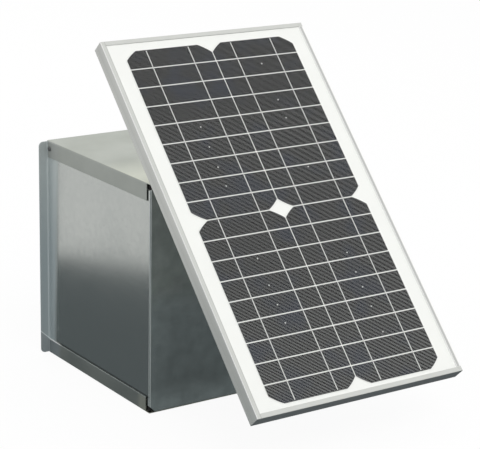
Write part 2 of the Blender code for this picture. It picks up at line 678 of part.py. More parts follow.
def fan(shoulder, rotor_middle):
    # Everything that turns. Heights in the outlines are measured from the hub's front.
    shaft = SHAFT_DIAMETER / 2
    inner = shaft + FIT
    start, end = rotor_middle - STATOR_LENGTH / 2, rotor_middle + STATOR_LENGTH / 2
    rotor = [(inner, end), (ROTOR_DIAMETER / 2, end), (ROTOR_DIAMETER / 2, start), (inner, start)]
    turned("rotor_magnet", "core", [(r, z - HUB_FRONT) for r, z in rotor], parent=FAN_AXIS)
    nut_end = HUB_FACE + FIT + HUB_NUT_HEIGHT
    collar = SHAFT_COLLAR / 2
    rod = [(0, nut_end + SHAFT_END), (shaft, nut_end + SHAFT_END), (shaft, -FIT), (collar, -FIT),
           (collar, -FIT - SHAFT_COLLAR_LENGTH), (shaft, -FIT - SHAFT_COLLAR_LENGTH),
           (shaft, shoulder + FIT - HUB_FRONT), (0, shoulder + FIT - HUB_FRONT)]
    turned("motor_shaft", "steel", rod, closed=False, parent=FAN_AXIS)
    radius = HUB_DIAMETER / 2
    hub = [(inner, HUB_FACE), (HUB_RECESS / 2, HUB_FACE), (HUB_RECESS / 2, HUB_LENGTH),
           (radius, HUB_LENGTH), (radius, HUB_EDGE), (radius - HUB_EDGE, 0), (inner, 0)]
    turned("fan_hub", "fan_plastic", hub, GUARD_STEPS, parent=FAN_AXIS)
    nut = flat_mesh("hub_nut", [hexagon(HUB_NUT), circle(inner, TURN_STEPS)], HUB_NUT_HEIGHT)
    add_part("hub_nut", nut, "zinc", location=(0, 0, HUB_FACE + FIT + HUB_NUT_HEIGHT / 2), parent=FAN_AXIS)
    for k in range(BLADES):
        blade(k)


def blade(k):
    # A twisted, cambered plate whose root and tip lie on cylinders round the axis.
    bm = bmesh.new()
    bmesh.ops.create_grid(bm, x_segments=BLADE_STATIONS - 1, y_segments=CHORD_STATIONS - 1, size=1.0)
    root, tip = HUB_DIAMETER / 2 + BLADE_ROOT, FAN_RADIUS
    for vert in bm.verts:
        along = (vert.co.x + 1) / 2
        across = vert.co.y / 2
        radius = root + (tip - root) * along
        chord = ROOT_CHORD + (TIP_CHORD - ROOT_CHORD) * along
        pitch = ROOT_PITCH + (TIP_PITCH - ROOT_PITCH) * along
        bow = BLADE_CAMBER * (1 - 4 * across * across)
        sideways = chord * across * cos(pitch) - bow * sin(pitch)
        angle = 2 * pi * k / BLADES - sideways / radius
        height = HUB_LENGTH / 2 + chord * across * sin(pitch) + (bow - BLADE_CAMBER / 2) * cos(pitch)
        vert.co = (radius * cos(angle), radius * sin(angle), height)
    mesh = finish_mesh(bm, f"fan_blade_{k + 1}")
    smooth(mesh)
    obj = add_part(f"fan_blade_{k + 1}", mesh, "fan_plastic", parent=FAN_AXIS)
    shell = obj.modifiers.new("plate", "SOLIDIFY")
    shell.thickness = BLADE_THICKNESS
    shell.offset = 0


def on_panel(x, along, depth):
    # A place on the panel: across from its middle, up from its lower edge, forward from its back.
    return (x, along - PIVOT_ALONG, depth + PIVOT_TO_PANEL)


def panel_block(name, finish, low, high):
    return add_part(name, blocks(name, [(on_panel(*low), on_panel(*high))]), finish, parent=PANEL_PIVOT)


def laminate_levels():
    # Front of each layer behind the frame's lip, and the top of the shelf that carries them.
    glass = FRAME_DEPTH - FRAME_WALL - FIT
    cells = glass - GLASS - FIT
    backsheet = cells - CELL_THICKNESS - FIT
    shelf = backsheet - BACKSHEET - FIT
    return glass, cells, backsheet, shelf


def panel_frame():
    # Four mitred lengths of one extrusion: wall, front lip, shelf under the glass and back flange.
    shelf = laminate_levels()[3]
    under = shelf - FRAME_SHELF_THICKNESS
    lip = FRAME_DEPTH - FRAME_WALL
    section = [(0, 0), (FRAME_FLANGE, 0), (FRAME_FLANGE, FRAME_WALL), (FRAME_WALL, FRAME_WALL),
               (FRAME_WALL, under), (FRAME_SHELF, under), (FRAME_SHELF, shelf), (FRAME_WALL, shelf),
               (FRAME_WALL, lip), (FRAME_LIP, lip), (FRAME_LIP, FRAME_DEPTH), (0, FRAME_DEPTH)]
    half_width, half_length = PANEL_WIDTH / 2, PANEL_LENGTH / 2
    rails = [("frame_left", 0, half_length, (-half_width, half_length)),
             ("frame_bottom", 90, half_width, (0, 0)),
             ("frame_right", 180, half_length, (half_width, half_length)),
             ("frame_top", 270, half_width, (0, PANEL_LENGTH))]
    for name, angle, half, (x, along) in rails:
        mesh = flat_mesh(name, [section], 2 * half)
        for vert in mesh.vertices:
            end = half - vert.co.x - FIT / 2
            vert.co.z = end if vert.co.z > 0 else -end
        rail = add_part(name, mesh, "anodised", location=on_panel(x, along, 0),
                        turn=(pi / 2, 0, radians(angle)), parent=PANEL_PIVOT)
        if name in ("frame_left", "frame_right"):
            combine(rail, RAIL_SCREW_HOLES, "DIFFERENCE")
    inset = FRAME_WALL + FIT
    key = [(0, 0), (KEY_LEG, 0), (KEY_LEG, KEY_THICKNESS), (KEY_THICKNESS, KEY_THICKNESS),
           (KEY_THICKNESS, KEY_LEG), (0, KEY_LEG)]
    height = under - FRAME_WALL - 2 * FIT
    corners = [("lower_left", -half_width + inset, inset), ("lower_right", half_width - inset, inset),
               ("upper_right", half_width - inset, PANEL_LENGTH - inset),
               ("upper_left", -half_width + inset, PANEL_LENGTH - inset)]
    for k, (word, x, along) in enumerate(corners):
        add_part("corner_key_" + word, flat_mesh("key", [key], height), "anodised",
                 location=on_panel(x, along, FRAME_WALL + FIT + height / 2), turn=(0, 0, k * pi / 2),
                 parent=PANEL_PIVOT)


def laminate():
    # Glass, two strings of cells and the white backsheet, held in the frame's groove.
    glass, cells, backsheet, _ = laminate_levels()
    edge = FRAME_WALL + LAMINATE_PLAY
    side, low, high = PANEL_WIDTH / 2 - edge, edge, PANEL_LENGTH - edge
    panel_block("solar_glass", "glass", (-side, low, glass - GLASS), (side, high, glass))
    panel_block("backsheet", "white_film", (-side, low, backsheet - BACKSHEET), (side, high, backsheet))
    middle = (LEFT_MARGIN - RIGHT_MARGIN) / 2
    offset = (CELL_WIDTH + COLUMN_GAP) / 2
    for word, x in (("left", middle - offset), ("right", middle + offset)):
        outlines = string_outlines()
        add_part("cell_string_" + word, flat_mesh("cells", outlines, CELL_THICKNESS), "silicon",
                 location=on_panel(x, 0, cells - CELL_THICKNESS / 2), parent=PANEL_PIVOT)


def cell_side(row):
    # Right-hand edge of one cell, upwards. The end and middle rows have clipped corners.
    half = CELL_WIDTH / 2
    low = LOWER_MARGIN + row * CELL_PITCH
    high = low + CELL_HEIGHT
    middle = CELL_ROWS // 2
    if row in (0, middle):
        return [(half - CELL_CLIP_ACROSS, low), (half, low + CELL_CLIP_ALONG), (half, high)]
    if row in (middle - 1, CELL_ROWS - 1):
        return [(half, low), (half, high - CELL_CLIP_ALONG), (half - CELL_CLIP_ACROSS, high)]
    return [(half, low), (half, high)]


def string_outlines():
    # One column of cells, joined by the two ribbons that cross each gap between its rows.
    near = (RIBBON_SPACING - RIBBON_WIDTH) / 2
    far = (RIBBON_SPACING + RIBBON_WIDTH) / 2
    right = []
    gaps = []
    for row in range(CELL_ROWS):
        right += cell_side(row)
        low = LOWER_MARGIN + row * CELL_PITCH + CELL_HEIGHT
        high = low + ROW_GAP
        if row < CELL_ROWS - 1:
            right += [(far, low), (far, high)]
            gaps.append([(-near, low), (near, low), (near, high), (-near, high)])
    left = [(-x, along) for x, along in reversed(right)]
    return [right + left, *gaps]


def junction_box():
    # Tray on the backsheet, open to the back, with a lid and one cable gland on its lower side.
    # Tray and gland stand midway between the cross rail and the frame's upper flange.
    front = laminate_levels()[2] - BACKSHEET - FIT
    back = front - JUNCTION_DEPTH
    half = JUNCTION_WIDTH / 2
    middle = (PIVOT_ALONG + RAIL_WIDTH / 2 + PANEL_LENGTH - FRAME_FLANGE) / 2
    low = middle - (JUNCTION_HEIGHT - GLAND_LENGTH - FIT) / 2
    high = low + JUNCTION_HEIGHT
    tray = panel_block("junction_box", "black_plastic", (-half, low, back), (half, high, front))
    wall = JUNCTION_WALL
    inside = on_panel(-half + wall, low + wall, back - wall), on_panel(half - wall, high - wall, front - wall)
    hollow = add_cutter("cut_junction_box", blocks("hollow", [inside]), parent=PANEL_PIVOT)
    combine(tray, hollow, "DIFFERENCE")
    under = back - FIT
    panel_block("junction_box_lid", "black_plastic", (-half, low, under - wall), (half, high, under))
    rim, bore = GLAND_DIAMETER / 2, GLAND_BORE / 2
    gland = [(bore, GLAND_LENGTH), (GLAND_NOSE / 2, GLAND_LENGTH), (rim, GLAND_STRAIGHT), (rim, 0), (bore, 0)]
    turned("cable_gland", "black_plastic", gland, SMALL_STEPS, parent=PANEL_PIVOT, turn=AGAINST_Y,
           location=on_panel(0, low - FIT, (front + back) / 2))


def rail_screw_places():
    x = PANEL_WIDTH / 2 - RAIL_SCREW_INSET
    return [("left", -x), ("right", x)]


def rail_screw_holes():
    ends = [(on_panel(x, PIVOT_ALONG, -2 * RAIL_THICKNESS), on_panel(x, PIVOT_ALONG, 2 * FRAME_WALL))
            for _, x in rail_screw_places()]
    mesh = rods("cut_rail_screws", ends, RAIL_SCREW_SHANK / 2 + HOLE_CLEARANCE)
    return add_cutter("cut_rail_screws", mesh, parent=PANEL_PIVOT)


def cross_rail():
    # Flat bar across the back of the frame, level with the pivot.
    half = PANEL_WIDTH / 2 - RAIL_INSET
    low, high = PIVOT_ALONG - RAIL_WIDTH / 2, PIVOT_ALONG + RAIL_WIDTH / 2
    rail = panel_block("cross_rail", "anodised", (-half, low, -FIT - RAIL_THICKNESS), (half, high, -FIT))
    combine(rail, RAIL_SCREW_HOLES, "DIFFERENCE")
    length = RAIL_THICKNESS + 2 * FIT + FRAME_WALL + RAIL_SCREW_TAIL
    for word, x in rail_screw_places():
        seat = on_panel(x, PIVOT_ALONG, -2 * FIT - RAIL_THICKNESS)
        headed("rail_screw_" + word, "zinc", RAIL_SCREW_HEAD, RAIL_SCREW_HEAD_HEIGHT, RAIL_SCREW_SHANK,
               length, location=seat, turn=(pi, 0, 0), parent=PANEL_PIVOT)


def ear_outlines(width, base):
    # An ear with a round end about the pivot, its hole, and a straight base at the given height.
    side = 1 if base > 0 else -1
    arc = [pi * k / SMALL_STEPS for k in range(SMALL_STEPS + 1)]
    end = [(EAR_RADIUS * cos(a), -side * EAR_RADIUS * sin(a)) for a in arc]
    half = width / 2
    return [[*end, (-half, base), (half, base)], circle(PIVOT_HOLE, SMALL_STEPS)]


def tilt_lug(word, side, seam):
    # Ear and foot on the cross rail, on the inner side of the seam between the ears.
    base = PIVOT_TO_PANEL - 2 * FIT - RAIL_THICKNESS
    half = RAIL_WIDTH / 2
    ear = flat_mesh("ear", ear_outlines(RAIL_WIDTH, base), EAR_THICKNESS)
    lug = add_part("tilt_lug_" + word, ear, "zinc", turn=EDGE_ON, parent=PANEL_PIVOT,
                   location=(seam - side * (SEAM + EAR_THICKNESS / 2), 0, 0))
    near, far = sorted((seam - side * SEAM, seam - side * (SEAM + FOOT_WIDTH)))
    foot = blocks("foot", [((near, -half, base - EAR_THICKNESS), (far, half, base))])
    combine(lug, add_cutter("join_lug_" + word, foot, parent=PANEL_PIVOT), "UNION")


def hinge_bracket(word, side, seam):
    # Ear and foot on the top pan, on the outer side of the seam.
    half = BRACKET_FOOT_DEPTH / 2
    ear = flat_mesh("ear", ear_outlines(BRACKET_FOOT_DEPTH, FIT - PIVOT_RISE), EAR_THICKNESS)
    bracket = add_part("hinge_bracket_" + word, ear, "zinc", turn=EDGE_ON,
                       location=(seam + side * (SEAM + EAR_THICKNESS / 2), PIVOT_Y, PIVOT_Z))
    near, far = sorted((seam + side * SEAM, seam + side * (SEAM + FOOT_WIDTH)))
    low = HOUSING_HEIGHT + FIT
    foot = blocks("foot", [((near, PIVOT_Y - half, low), (far, PIVOT_Y + half, low + EAR_THICKNESS))])
    combine(bracket, add_cutter("join_bracket_" + word, foot), "UNION")


def pivot_bolt(word, side, seam):
    # Hexagon bolt through both ears, its head outside and its nut inside.
    reach = SEAM + EAR_THICKNESS + FIT
    length = 2 * reach + PIVOT_NUT_HEIGHT + PIVOT_BOLT_TAIL
    where = {"location": (seam + side * reach, PIVOT_Y, PIVOT_Z), "turn": (0, side * pi / 2, 0)}
    head = rods("head", [((0, 0, 0), (0, 0, PIVOT_HEAD_HEIGHT))], PIVOT_HEX / 2 / cos(pi / 6), 6)
    bolt = add_part("pivot_bolt_" + word, head, "zinc", **where)
    shank = rods("shank", [((0, 0, -length), (0, 0, PIVOT_HEAD_HEIGHT / 2))], PIVOT_BOLT / 2)
    combine(bolt, add_cutter("join_shank_" + word, shank, **where), "UNION")
    nut = flat_mesh("nut", [hexagon(PIVOT_HEX), circle(PIVOT_HOLE, SMALL_STEPS)], PIVOT_NUT_HEIGHT)
    nut_x = seam - side * (reach + PIVOT_NUT_HEIGHT / 2)
    add_part("pivot_nut_" + word, nut, "zinc", location=(nut_x, PIVOT_Y, PIVOT_Z), turn=EDGE_ON)


def tilt_mount():
    for word, side in (("left", -1), ("right", 1)):
        seam = side * MOUNT_SPACING / 2
        tilt_lug(word, side, seam)
        hinge_bracket(word, side, seam)
        pivot_bolt(word, side, seam)


for old in list(bpy.data.objects):
    bpy.data.objects.remove(old, do_unlink=True)

ALONG_Y = (-pi / 2, 0, 0)       # local z points to the back
AGAINST_Y = (pi / 2, 0, 0)      # local z points to the front
EDGE_ON = (pi / 2, 0, pi / 2)   # local x, y and z lie along Y, Z and X

PARTS = new_collection("solar_attic_fan")
CUTTERS = new_collection("cutters")
FAN_AXIS = new_empty("fan_axis", (0, HUB_FRONT, AXIS_HEIGHT), ALONG_Y)
PANEL_PIVOT = new_empty("panel_pivot", (0, PIVOT_Y, PIVOT_Z), (TILT, 0, 0))
bpy.context.view_layer.update()

PAN_SCREW_HOLES = pan_screw_holes()
STRAP_SCREW_HOLES = strap_screw_holes()
MOTOR_BOLT_HOLES = motor_bolt_holes()
RAIL_SCREW_HOLES = rail_screw_holes()

housing_wrap()
pans()
pan_screws()
cable_grommet()
orifice_panel()
exhaust_guard()
motor_strap()
fan(*motor())
panel_frame()
laminate()
junction_box()
cross_rail()
tilt_mount()
bpy.context.view_layer.update()
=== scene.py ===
from functools import partial
from math import cos, pi, radians, sin, sqrt, tan

import bmesh
import bpy
from mathutils import Matrix, Vector


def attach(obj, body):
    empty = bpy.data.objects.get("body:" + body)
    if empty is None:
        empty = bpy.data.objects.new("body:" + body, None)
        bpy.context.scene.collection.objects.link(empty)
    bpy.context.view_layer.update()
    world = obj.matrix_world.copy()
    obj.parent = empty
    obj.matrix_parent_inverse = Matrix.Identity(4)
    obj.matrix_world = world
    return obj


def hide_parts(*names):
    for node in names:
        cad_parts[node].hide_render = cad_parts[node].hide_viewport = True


# Solar attic fan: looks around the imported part. Metres, except where a name ends in Mm.
# +Z is up and +Y is the flanged back. The origin is the middle of the housing's base.
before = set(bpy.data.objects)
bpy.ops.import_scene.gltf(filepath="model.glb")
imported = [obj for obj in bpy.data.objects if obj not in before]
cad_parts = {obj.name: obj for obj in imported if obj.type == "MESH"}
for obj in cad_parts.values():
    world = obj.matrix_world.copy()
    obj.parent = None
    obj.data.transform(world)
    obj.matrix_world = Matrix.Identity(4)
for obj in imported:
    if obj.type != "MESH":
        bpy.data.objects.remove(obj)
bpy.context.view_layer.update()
print("frame loaded,", len(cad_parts), "nodes")

scene = bpy.context.scene
scene.view_settings.view_transform = "Standard"


# Small tools

def linear(hexColour):
    channels = [int(hexColour[i:i + 2], 16) / 255 for i in (1, 3, 5)]
    return [c / 12.92 if c <= 0.04045 else ((c + 0.055) / 1.055) ** 2.4 for c in channels] + [1.0]


def addNode(tree, kind, feeds=(), **settings):
    # A kind in capitals is an operation of the Math node. The tree's own family of nodes is tried first.
    if kind.isupper():
        kind, settings["operation"] = "Math", kind
    names = [family + kind for family in (tree.bl_idname[:-4], "ShaderNode", "FunctionNode", "")]
    node = tree.nodes.new(next(name for name in names if hasattr(bpy.types, name)))
    for key, value in settings.items():
        setattr(node, key, value)
    return feed(tree, node, feeds)


def feed(tree, node, feeds):
    # A list fills the inputs in turn. A node stands for its first output in use, and hex digits for a colour.
    for key, value in feeds.items() if isinstance(feeds, dict) else enumerate(feeds):
        if isinstance(value, bpy.types.Node):
            value = next(output for output in value.outputs if output.enabled)
        if isinstance(value, bpy.types.NodeSocket):
            tree.links.new(value, node.inputs[key])
        else:
            node.inputs[key].default_value = linear(value) if str(value)[0] == "#" else value
    return node


def every(sizeMm):
    return 1000 / sizeMm  # texture scale for a pattern of that size


def newMaterial(name):
    material = bpy.data.materials.new(name)
    material.use_nodes = True
    add = partial(addNode, material.node_tree)
    return material, add, add("TexCoord").outputs["Object"]


def finished(material, feeds):
    feed(material.node_tree, material.node_tree.nodes["Principled BSDF"], feeds)
    return material


def newPiece(name, mesh):
    piece = bpy.data.objects.new(name, mesh)
    scene.collection.objects.link(piece)
    return piece


def pieceOf(bm, name, place=Matrix(), tidy=True):
    if tidy:
        bmesh.ops.remove_doubles(bm, verts=bm.verts, dist=1e-7)
        bmesh.ops.recalc_face_normals(bm, faces=bm.faces)
    mesh = bpy.data.meshes.new(name)
    bm.to_mesh(mesh)
    bm.free()
    mesh.transform(place)
    return newPiece(name, mesh)


def settled(piece):
    # The evaluated result becomes the piece's own plain mesh.
    graph = bpy.context.evaluated_depsgraph_get()
    mesh = bpy.data.meshes.new_from_object(piece.evaluated_get(graph))
    piece.modifiers.clear()
    piece.data = mesh
    return piece


def modified(piece, kind, **settings):
    step = piece.modifiers.new(kind.lower(), kind)
    for key, value in settings.items():
        setattr(step, key, value)
    return piece


def softened(piece, width, segments=2):
    modified(piece, "BEVEL", width=width, segments=segments, limit_method="ANGLE", angle_limit=radians(32))
    return shaded(settled(piece))


def shaded(piece, limit=38):
    # Smooth over small angles, with the large faces kept flat.
    piece.data.shade_smooth()
    piece.data.set_sharp_from_angle(angle=radians(limit))
    return settled(modified(piece, "WEIGHTED_NORMAL", weight=100, keep_sharp=True))


def combined(piece, others, operation):
    for other in others:
        modified(piece, "BOOLEAN", operation=operation, solver="EXACT", object=other)
    settled(piece)
    for other in others:
        bpy.data.objects.remove(other)
    return piece


def dress(piece, material, body, slot, *nodes):
    # Finish, body and the solids that the piece stands for.
    piece.data.materials.clear()
    piece.data.materials.append(material)
    piece.data.polygons.foreach_set("material_index", [0] * len(piece.data.polygons))
    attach(piece, body)
    if nodes:
        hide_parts(*nodes)
    return piece


def rectangle(x, y, farX, farY):
    return [(x, y), (farX, y), (farX, farY), (x, farY)]


def arc(count, step):
    return [radians(step * k) for k in range(count)]


def around(count, shift=0.0):
    return [2 * pi * (k + shift) / count for k in range(count)]


def filleted(points, radius, steps=5, closed=True):
    # Corners of an outline as arcs. A list gives each corner its own radius.
    corners = [Vector(p) for p in points]
    result = []
    for i, corner in enumerate(corners):
        r = radius[i] if isinstance(radius, (list, tuple)) else radius
        if r == 0 or (not closed and i in (0, len(corners) - 1)):
            result.append(corner)
            continue
        before = (corners[i - 1] - corner).normalized()
        after = (corners[(i + 1) % len(corners)] - corner).normalized()
        half = before.angle(after) / 2
        middle = corner + (before + after).normalized() * (r / sin(half))
        start = (corner + before * (r / tan(half)) - middle).normalized()
        end = (corner + after * (r / tan(half)) - middle).normalized()
        result += [middle + start.slerp(end, k / steps) * r for k in range(steps + 1)]
    return result


def bridge(bm, lower, upper):
    # Faces between two closed rings. Where a ring is one point, they are triangles.
    for k in range(len(lower)):
        bm.faces.new(list(dict.fromkeys((lower[k - 1], lower[k], upper[k], upper[k - 1]))))


def slabs(name, outlines, low, high, place=Matrix()):
    # Closed plates from outlines in x and y, between two heights.
    bm = bmesh.new()
    for outline in outlines:
        rings = [[bm.verts.new((p[0], p[1], z)) for p in outline] for z in (low, high)]
        for ring in rings:
            bm.faces.new(ring)
        bridge(bm, *rings)
    return pieceOf(bm, name, place)


def lathe(name, profile, steps, closed=False, place=Matrix()):
    # Rings about z through (radius, height) points. A radius of 0 is a pole.
    bm = bmesh.new()
    rings = []
    for radius, height in profile:
        if radius == 0:
            rings.append([bm.verts.new((0, 0, height))] * steps)
        else:
            rings.append([bm.verts.new((radius * cos(a), radius * sin(a), height)) for a in around(steps)])
    for lower, upper in zip(rings, rings[1:] + rings[:closed]):
        bridge(bm, lower, upper)
    return pieceOf(bm, name, place)


def roundBar(radius, steps=48, place=Matrix(), low=-0.02, high=0.02):
    # A spacer, or a drill for a hole right through.
    return lathe("roundBar", rectangle(0, low, radius, high), steps, place=place)


def boxes(name, corners, place=Matrix(), turns=(Matrix(),)):
    bm = bmesh.new()
    for low, high in corners:
        size = Vector(high) - Vector(low)
        box = Matrix.Translation((Vector(low) + Vector(high)) / 2) @ Matrix.Diagonal((*size, 1))
        for turn in turns:
            bmesh.ops.create_cube(bm, matrix=turn @ box)
    return pieceOf(bm, name, place, tidy=False)


def bentSheet(path, sweep, radius):
    # A strip folded along a path, still without thickness.
    bm = bmesh.new()
    points = filleted(path, radius, 8, closed=False)
    near = [bm.verts.new(p) for p in points]
    far = [bm.verts.new(p + Vector(sweep)) for p in points]
    for i in range(1, len(points)):
        bm.faces.new((near[i - 1], near[i], far[i], far[i - 1]))
    bm.normal_update()
    return bm


def thickened(bm, name, thickness, side=-1):
    sheet = pieceOf(bm, name, tidy=False)
    return settled(modified(sheet, "SOLIDIFY", thickness=thickness, offset=side, use_even_offset=True))


def newTree(name, inputs):
    tree = bpy.data.node_groups.new(name, "GeometryNodeTree")
    tree.interface.new_socket("Geometry", in_out="OUTPUT", socket_type="NodeSocketGeometry")
    for label, kind in {"Geometry": "Geometry", **inputs, "Finish": "Material"}.items():
        tree.interface.new_socket(label, in_out="INPUT", socket_type="NodeSocket" + kind)
    add = partial(addNode, tree)
    return tree, add, add("NodeGroupInput").outputs


def endTree(tree, geometry, finish):
    # Every tree ends as plain geometry with its finish on.
    real = addNode(tree, "RealizeInstances", [geometry])
    done = addNode(tree, "SetMaterial", {"Geometry": real, "Material": finish})
    addNode(tree, "NodeGroupOutput", [done])
    return tree


def grown(name, tree, values, base=None):
    piece = newPiece(name, base or bpy.data.meshes.new(name))
    modifier = piece.modifiers.new("nodes", "NODES")
    modifier.node_group = tree
    for socket in tree.interface.items_tree:
        if socket.in_out == "INPUT" and socket.name in values:
            modifier[socket.identifier] = values[socket.name]
    return settled(piece)


# Materials

def band(add, value, start, end, soft):
    # 1 between start and end, fading out over soft on both sides.
    rise = add("MapRange", [value, start - soft, start])
    fall = add("MapRange", [value, end, end + soft, 1.0, 0.0])
    return add("MULTIPLY", [rise, fall])


def layered(add, colour, *layers):
    # Each layer is a mask and the colour that it lays over the ones before.
    for mask, shade in layers:
        colour = add("Mix", {0: mask, 6: colour, 7: shade}, data_type="RGBA")
    return colour


def galvanisedSteel():
    # Hot-dipped sheet: a dull mirror with faint crystals, cloudy patches and fine streaks from the mill's rolls.
    # The flanges are duller and bluer, and painted darker towards the bottom as shade.
    # The strip of the left side next to its own flange has the same tone and gloss, a painted reflection of it.
    # A painted highlight runs as a pale line at the root of each flange.
    # Each flange's foot is darker below a slanting line, with a bright line along it.
    # Two painted highlights run down each front bend. Painted shade darkens the corners along the pans' lips.
    # A band of tone is given by where it starts and ends and over how much it fades.
    look = {"pale": "#b1b4b0", "dull": "#a4a8a5", "crystalMm": 7, "crystalShare": 0.25, "cloudMm": 70,
            "streakMm": 1.6, "streakLay": (0.03, 0.03, 1.0), "smooth": 0.16, "rough": 0.23, "relief": 0.02,
            "flangeLow": "#b4bec0", "flangeHigh": "#c7cecd", "flangeRise": (0.14, 0.29), "flangeFrom": 0.1526,
            "flangeOut": (0.1526, 1.0, 0.0010), "flangeRough": 0.6, "flangeMetal": 0.45,
            "leftSide": (-0.1526, -0.1508, 0.0004), "reflectionBack": (0.1200, 1.0, 0.0100), "reflectionSlope": 0.04,
            "root": "#e6ecec", "rootOut": (0.1527, 0.1533, 0.0005), "rootShare": 0.55,
            "foot": "#a9b1b3", "footUp": (-1.0, 0.0205, 0.0004), "footSlope": -0.93,
            "slantLine": "#f2f6f6", "slantLineUp": (0.0205, 0.0215, 0.0005), "slantLineShare": 0.9,
            "frontLow": "#aeb2ae", "frontHigh": "#c5c9c5", "frontRise": (0.04, 0.20),
            "frontBack": (-1.0, -0.1297, 0.0004), "blotMm": 16, "blotches": (0.32, 0.68, 0.89, 1.11),
            "bends": (0.108, 0.144, 0.86, 1.04), "frontFoot": (0.009, 0.032, 1.40, 1.0),
            "bendHighlight": "#bcc2c0", "bendHighlightWidth": 0.0004, "bendHighlightMetal": 0.25,
            "bendHighlightLines": ((0.15115, -0.12906, 0.0), (0.15003, -0.13054, 0.0)),
            "paintedShade": "#4a4f4e", "sideOut": (0.1508, 0.1526, 0.0004), "overLip": (0.0200, 0.0218, 0.0008),
            "beforeLip": (-0.1262, -0.1238, 0.0006), "betweenLips": (0.0215, 0.2735, 0.0010),
            "paintedShadeBack": (-1.0, 0.0950, 0.0150)}
    material, add, place = newMaterial("galvanisedSteel")
    crystal = add("TexVoronoi", {"Vector": place, "Scale": every(look["crystalMm"])})
    cloud = add("TexNoise", {"Vector": place, "Scale": every(look["cloudMm"]), "Detail": 5.0})
    lay = add("Mapping", {"Vector": place, "Scale": look["streakLay"]})
    streak = add("TexNoise", {"Vector": lay, "Scale": every(look["streakMm"]), "Detail": 2.0})
    tone = add("SeparateColor", [crystal.outputs["Color"]])
    patch = add("Mix", {0: look["crystalShare"], 2: cloud, 3: tone})
    x, y, z = add("SeparateXYZ", [place]).outputs
    out = add("ABSOLUTE", [x])

    # Painted reflection: the strip of the left side next to its own flange takes the flange's tone and gloss.
    bend = band(add, add("MULTIPLY_ADD", [z, look["reflectionSlope"], y]), *look["reflectionBack"])
    flangeReflection = add("MULTIPLY", [bend, band(add, x, *look["leftSide"])])
    turned = add("MAXIMUM", [band(add, out, *look["flangeOut"]), flangeReflection])
    # Each flange's foot is darker below a slanting line, and a bright line runs along that line.
    slant = add("MULTIPLY_ADD", [add("SUBTRACT", [out, look["flangeFrom"]]), look["footSlope"], z])
    # Painted highlight: a pale line at the root of each flange.
    root = add("MULTIPLY", [band(add, out, *look["rootOut"]), look["rootShare"]])
    slantLine = add("MULTIPLY", [band(add, slant, *look["slantLineUp"]), look["slantLineShare"]])
    # The flange's tone rises from flangeLow to flangeHigh upwards: painted shade, darker towards the bottom.
    flange = layered(add, look["flangeLow"], (add("MapRange", [z, *look["flangeRise"]]), look["flangeHigh"]),
                     (root, look["root"]), (band(add, slant, *look["footUp"]), look["foot"]),
                     (slantLine, look["slantLine"]))

    # Painted light: the front sheet is lighter towards its top, where the panel shades it, and lighter at its foot
    # and towards its sides. The blotches vary its tone at random.
    front = layered(add, look["frontLow"], (add("MapRange", [z, *look["frontRise"]]), look["frontHigh"]))
    blot = add("TexNoise", {"Vector": place, "Scale": every(look["blotMm"]), "Detail": 4.0})
    strength = 1.0
    for value, limits in ((blot, "blotches"), (out, "bends"), (z, "frontFoot")):
        strength = add("MULTIPLY", [strength, add("MapRange", [value, *look[limits]])])
    blotchedAndLit = add("VectorMath", {0: front, "Scale": strength}, operation="SCALE")

    # Painted shade on the sides: a dark line just above the lower lip, and short ones in front of each lip's end.
    ends = add("SUBTRACT", [band(add, y, *look["beforeLip"]), band(add, z, *look["betweenLips"])], use_clamp=True)
    corner = add("MAXIMUM", [band(add, z, *look["overLip"]), ends])
    outside = add("MULTIPLY", [band(add, out, *look["sideOut"]), band(add, y, *look["paintedShadeBack"])])
    # Painted highlights: two pale, less metallic lines down each front bend.
    plan = add("CombineXYZ", {"X": out, "Y": y})
    lines = []
    for spot in look["bendHighlightLines"]:
        away = add("VectorMath", [plan, spot], operation="DISTANCE")
        lines.append(band(add, away, 0.0, look["bendHighlightWidth"], look["bendHighlightWidth"]))
    highlighted = add("MAXIMUM", lines)
    colour = layered(add, look["pale"], (patch, look["dull"]), (band(add, y, *look["frontBack"]), blotchedAndLit),
                     (turned, flange), (add("MULTIPLY", [corner, outside]), look["paintedShade"]), (highlighted, look["bendHighlight"]))

    # The painted highlights are less metallic, so they stay pale.
    highlightMetal = add("MapRange", {0: highlighted, 3: 1.0, 4: look["bendHighlightMetal"]})
    metal = add("Mix", {0: turned, 2: highlightMetal, 3: look["flangeMetal"]})
    wear = add("Mix", {0: 0.5, 2: patch, 3: streak})
    gloss = add("MapRange", [wear, 0.3, 0.7, look["smooth"], look["rough"]])
    matt = add("Mix", {0: turned, 2: gloss, 3: look["flangeRough"]})
    relief = add("Bump", {"Height": streak, "Strength": look["relief"], "Distance": 0.0002})
    return finished(material, {"Base Color": colour, "Metallic": metal, "Roughness": matt, "Normal": relief})


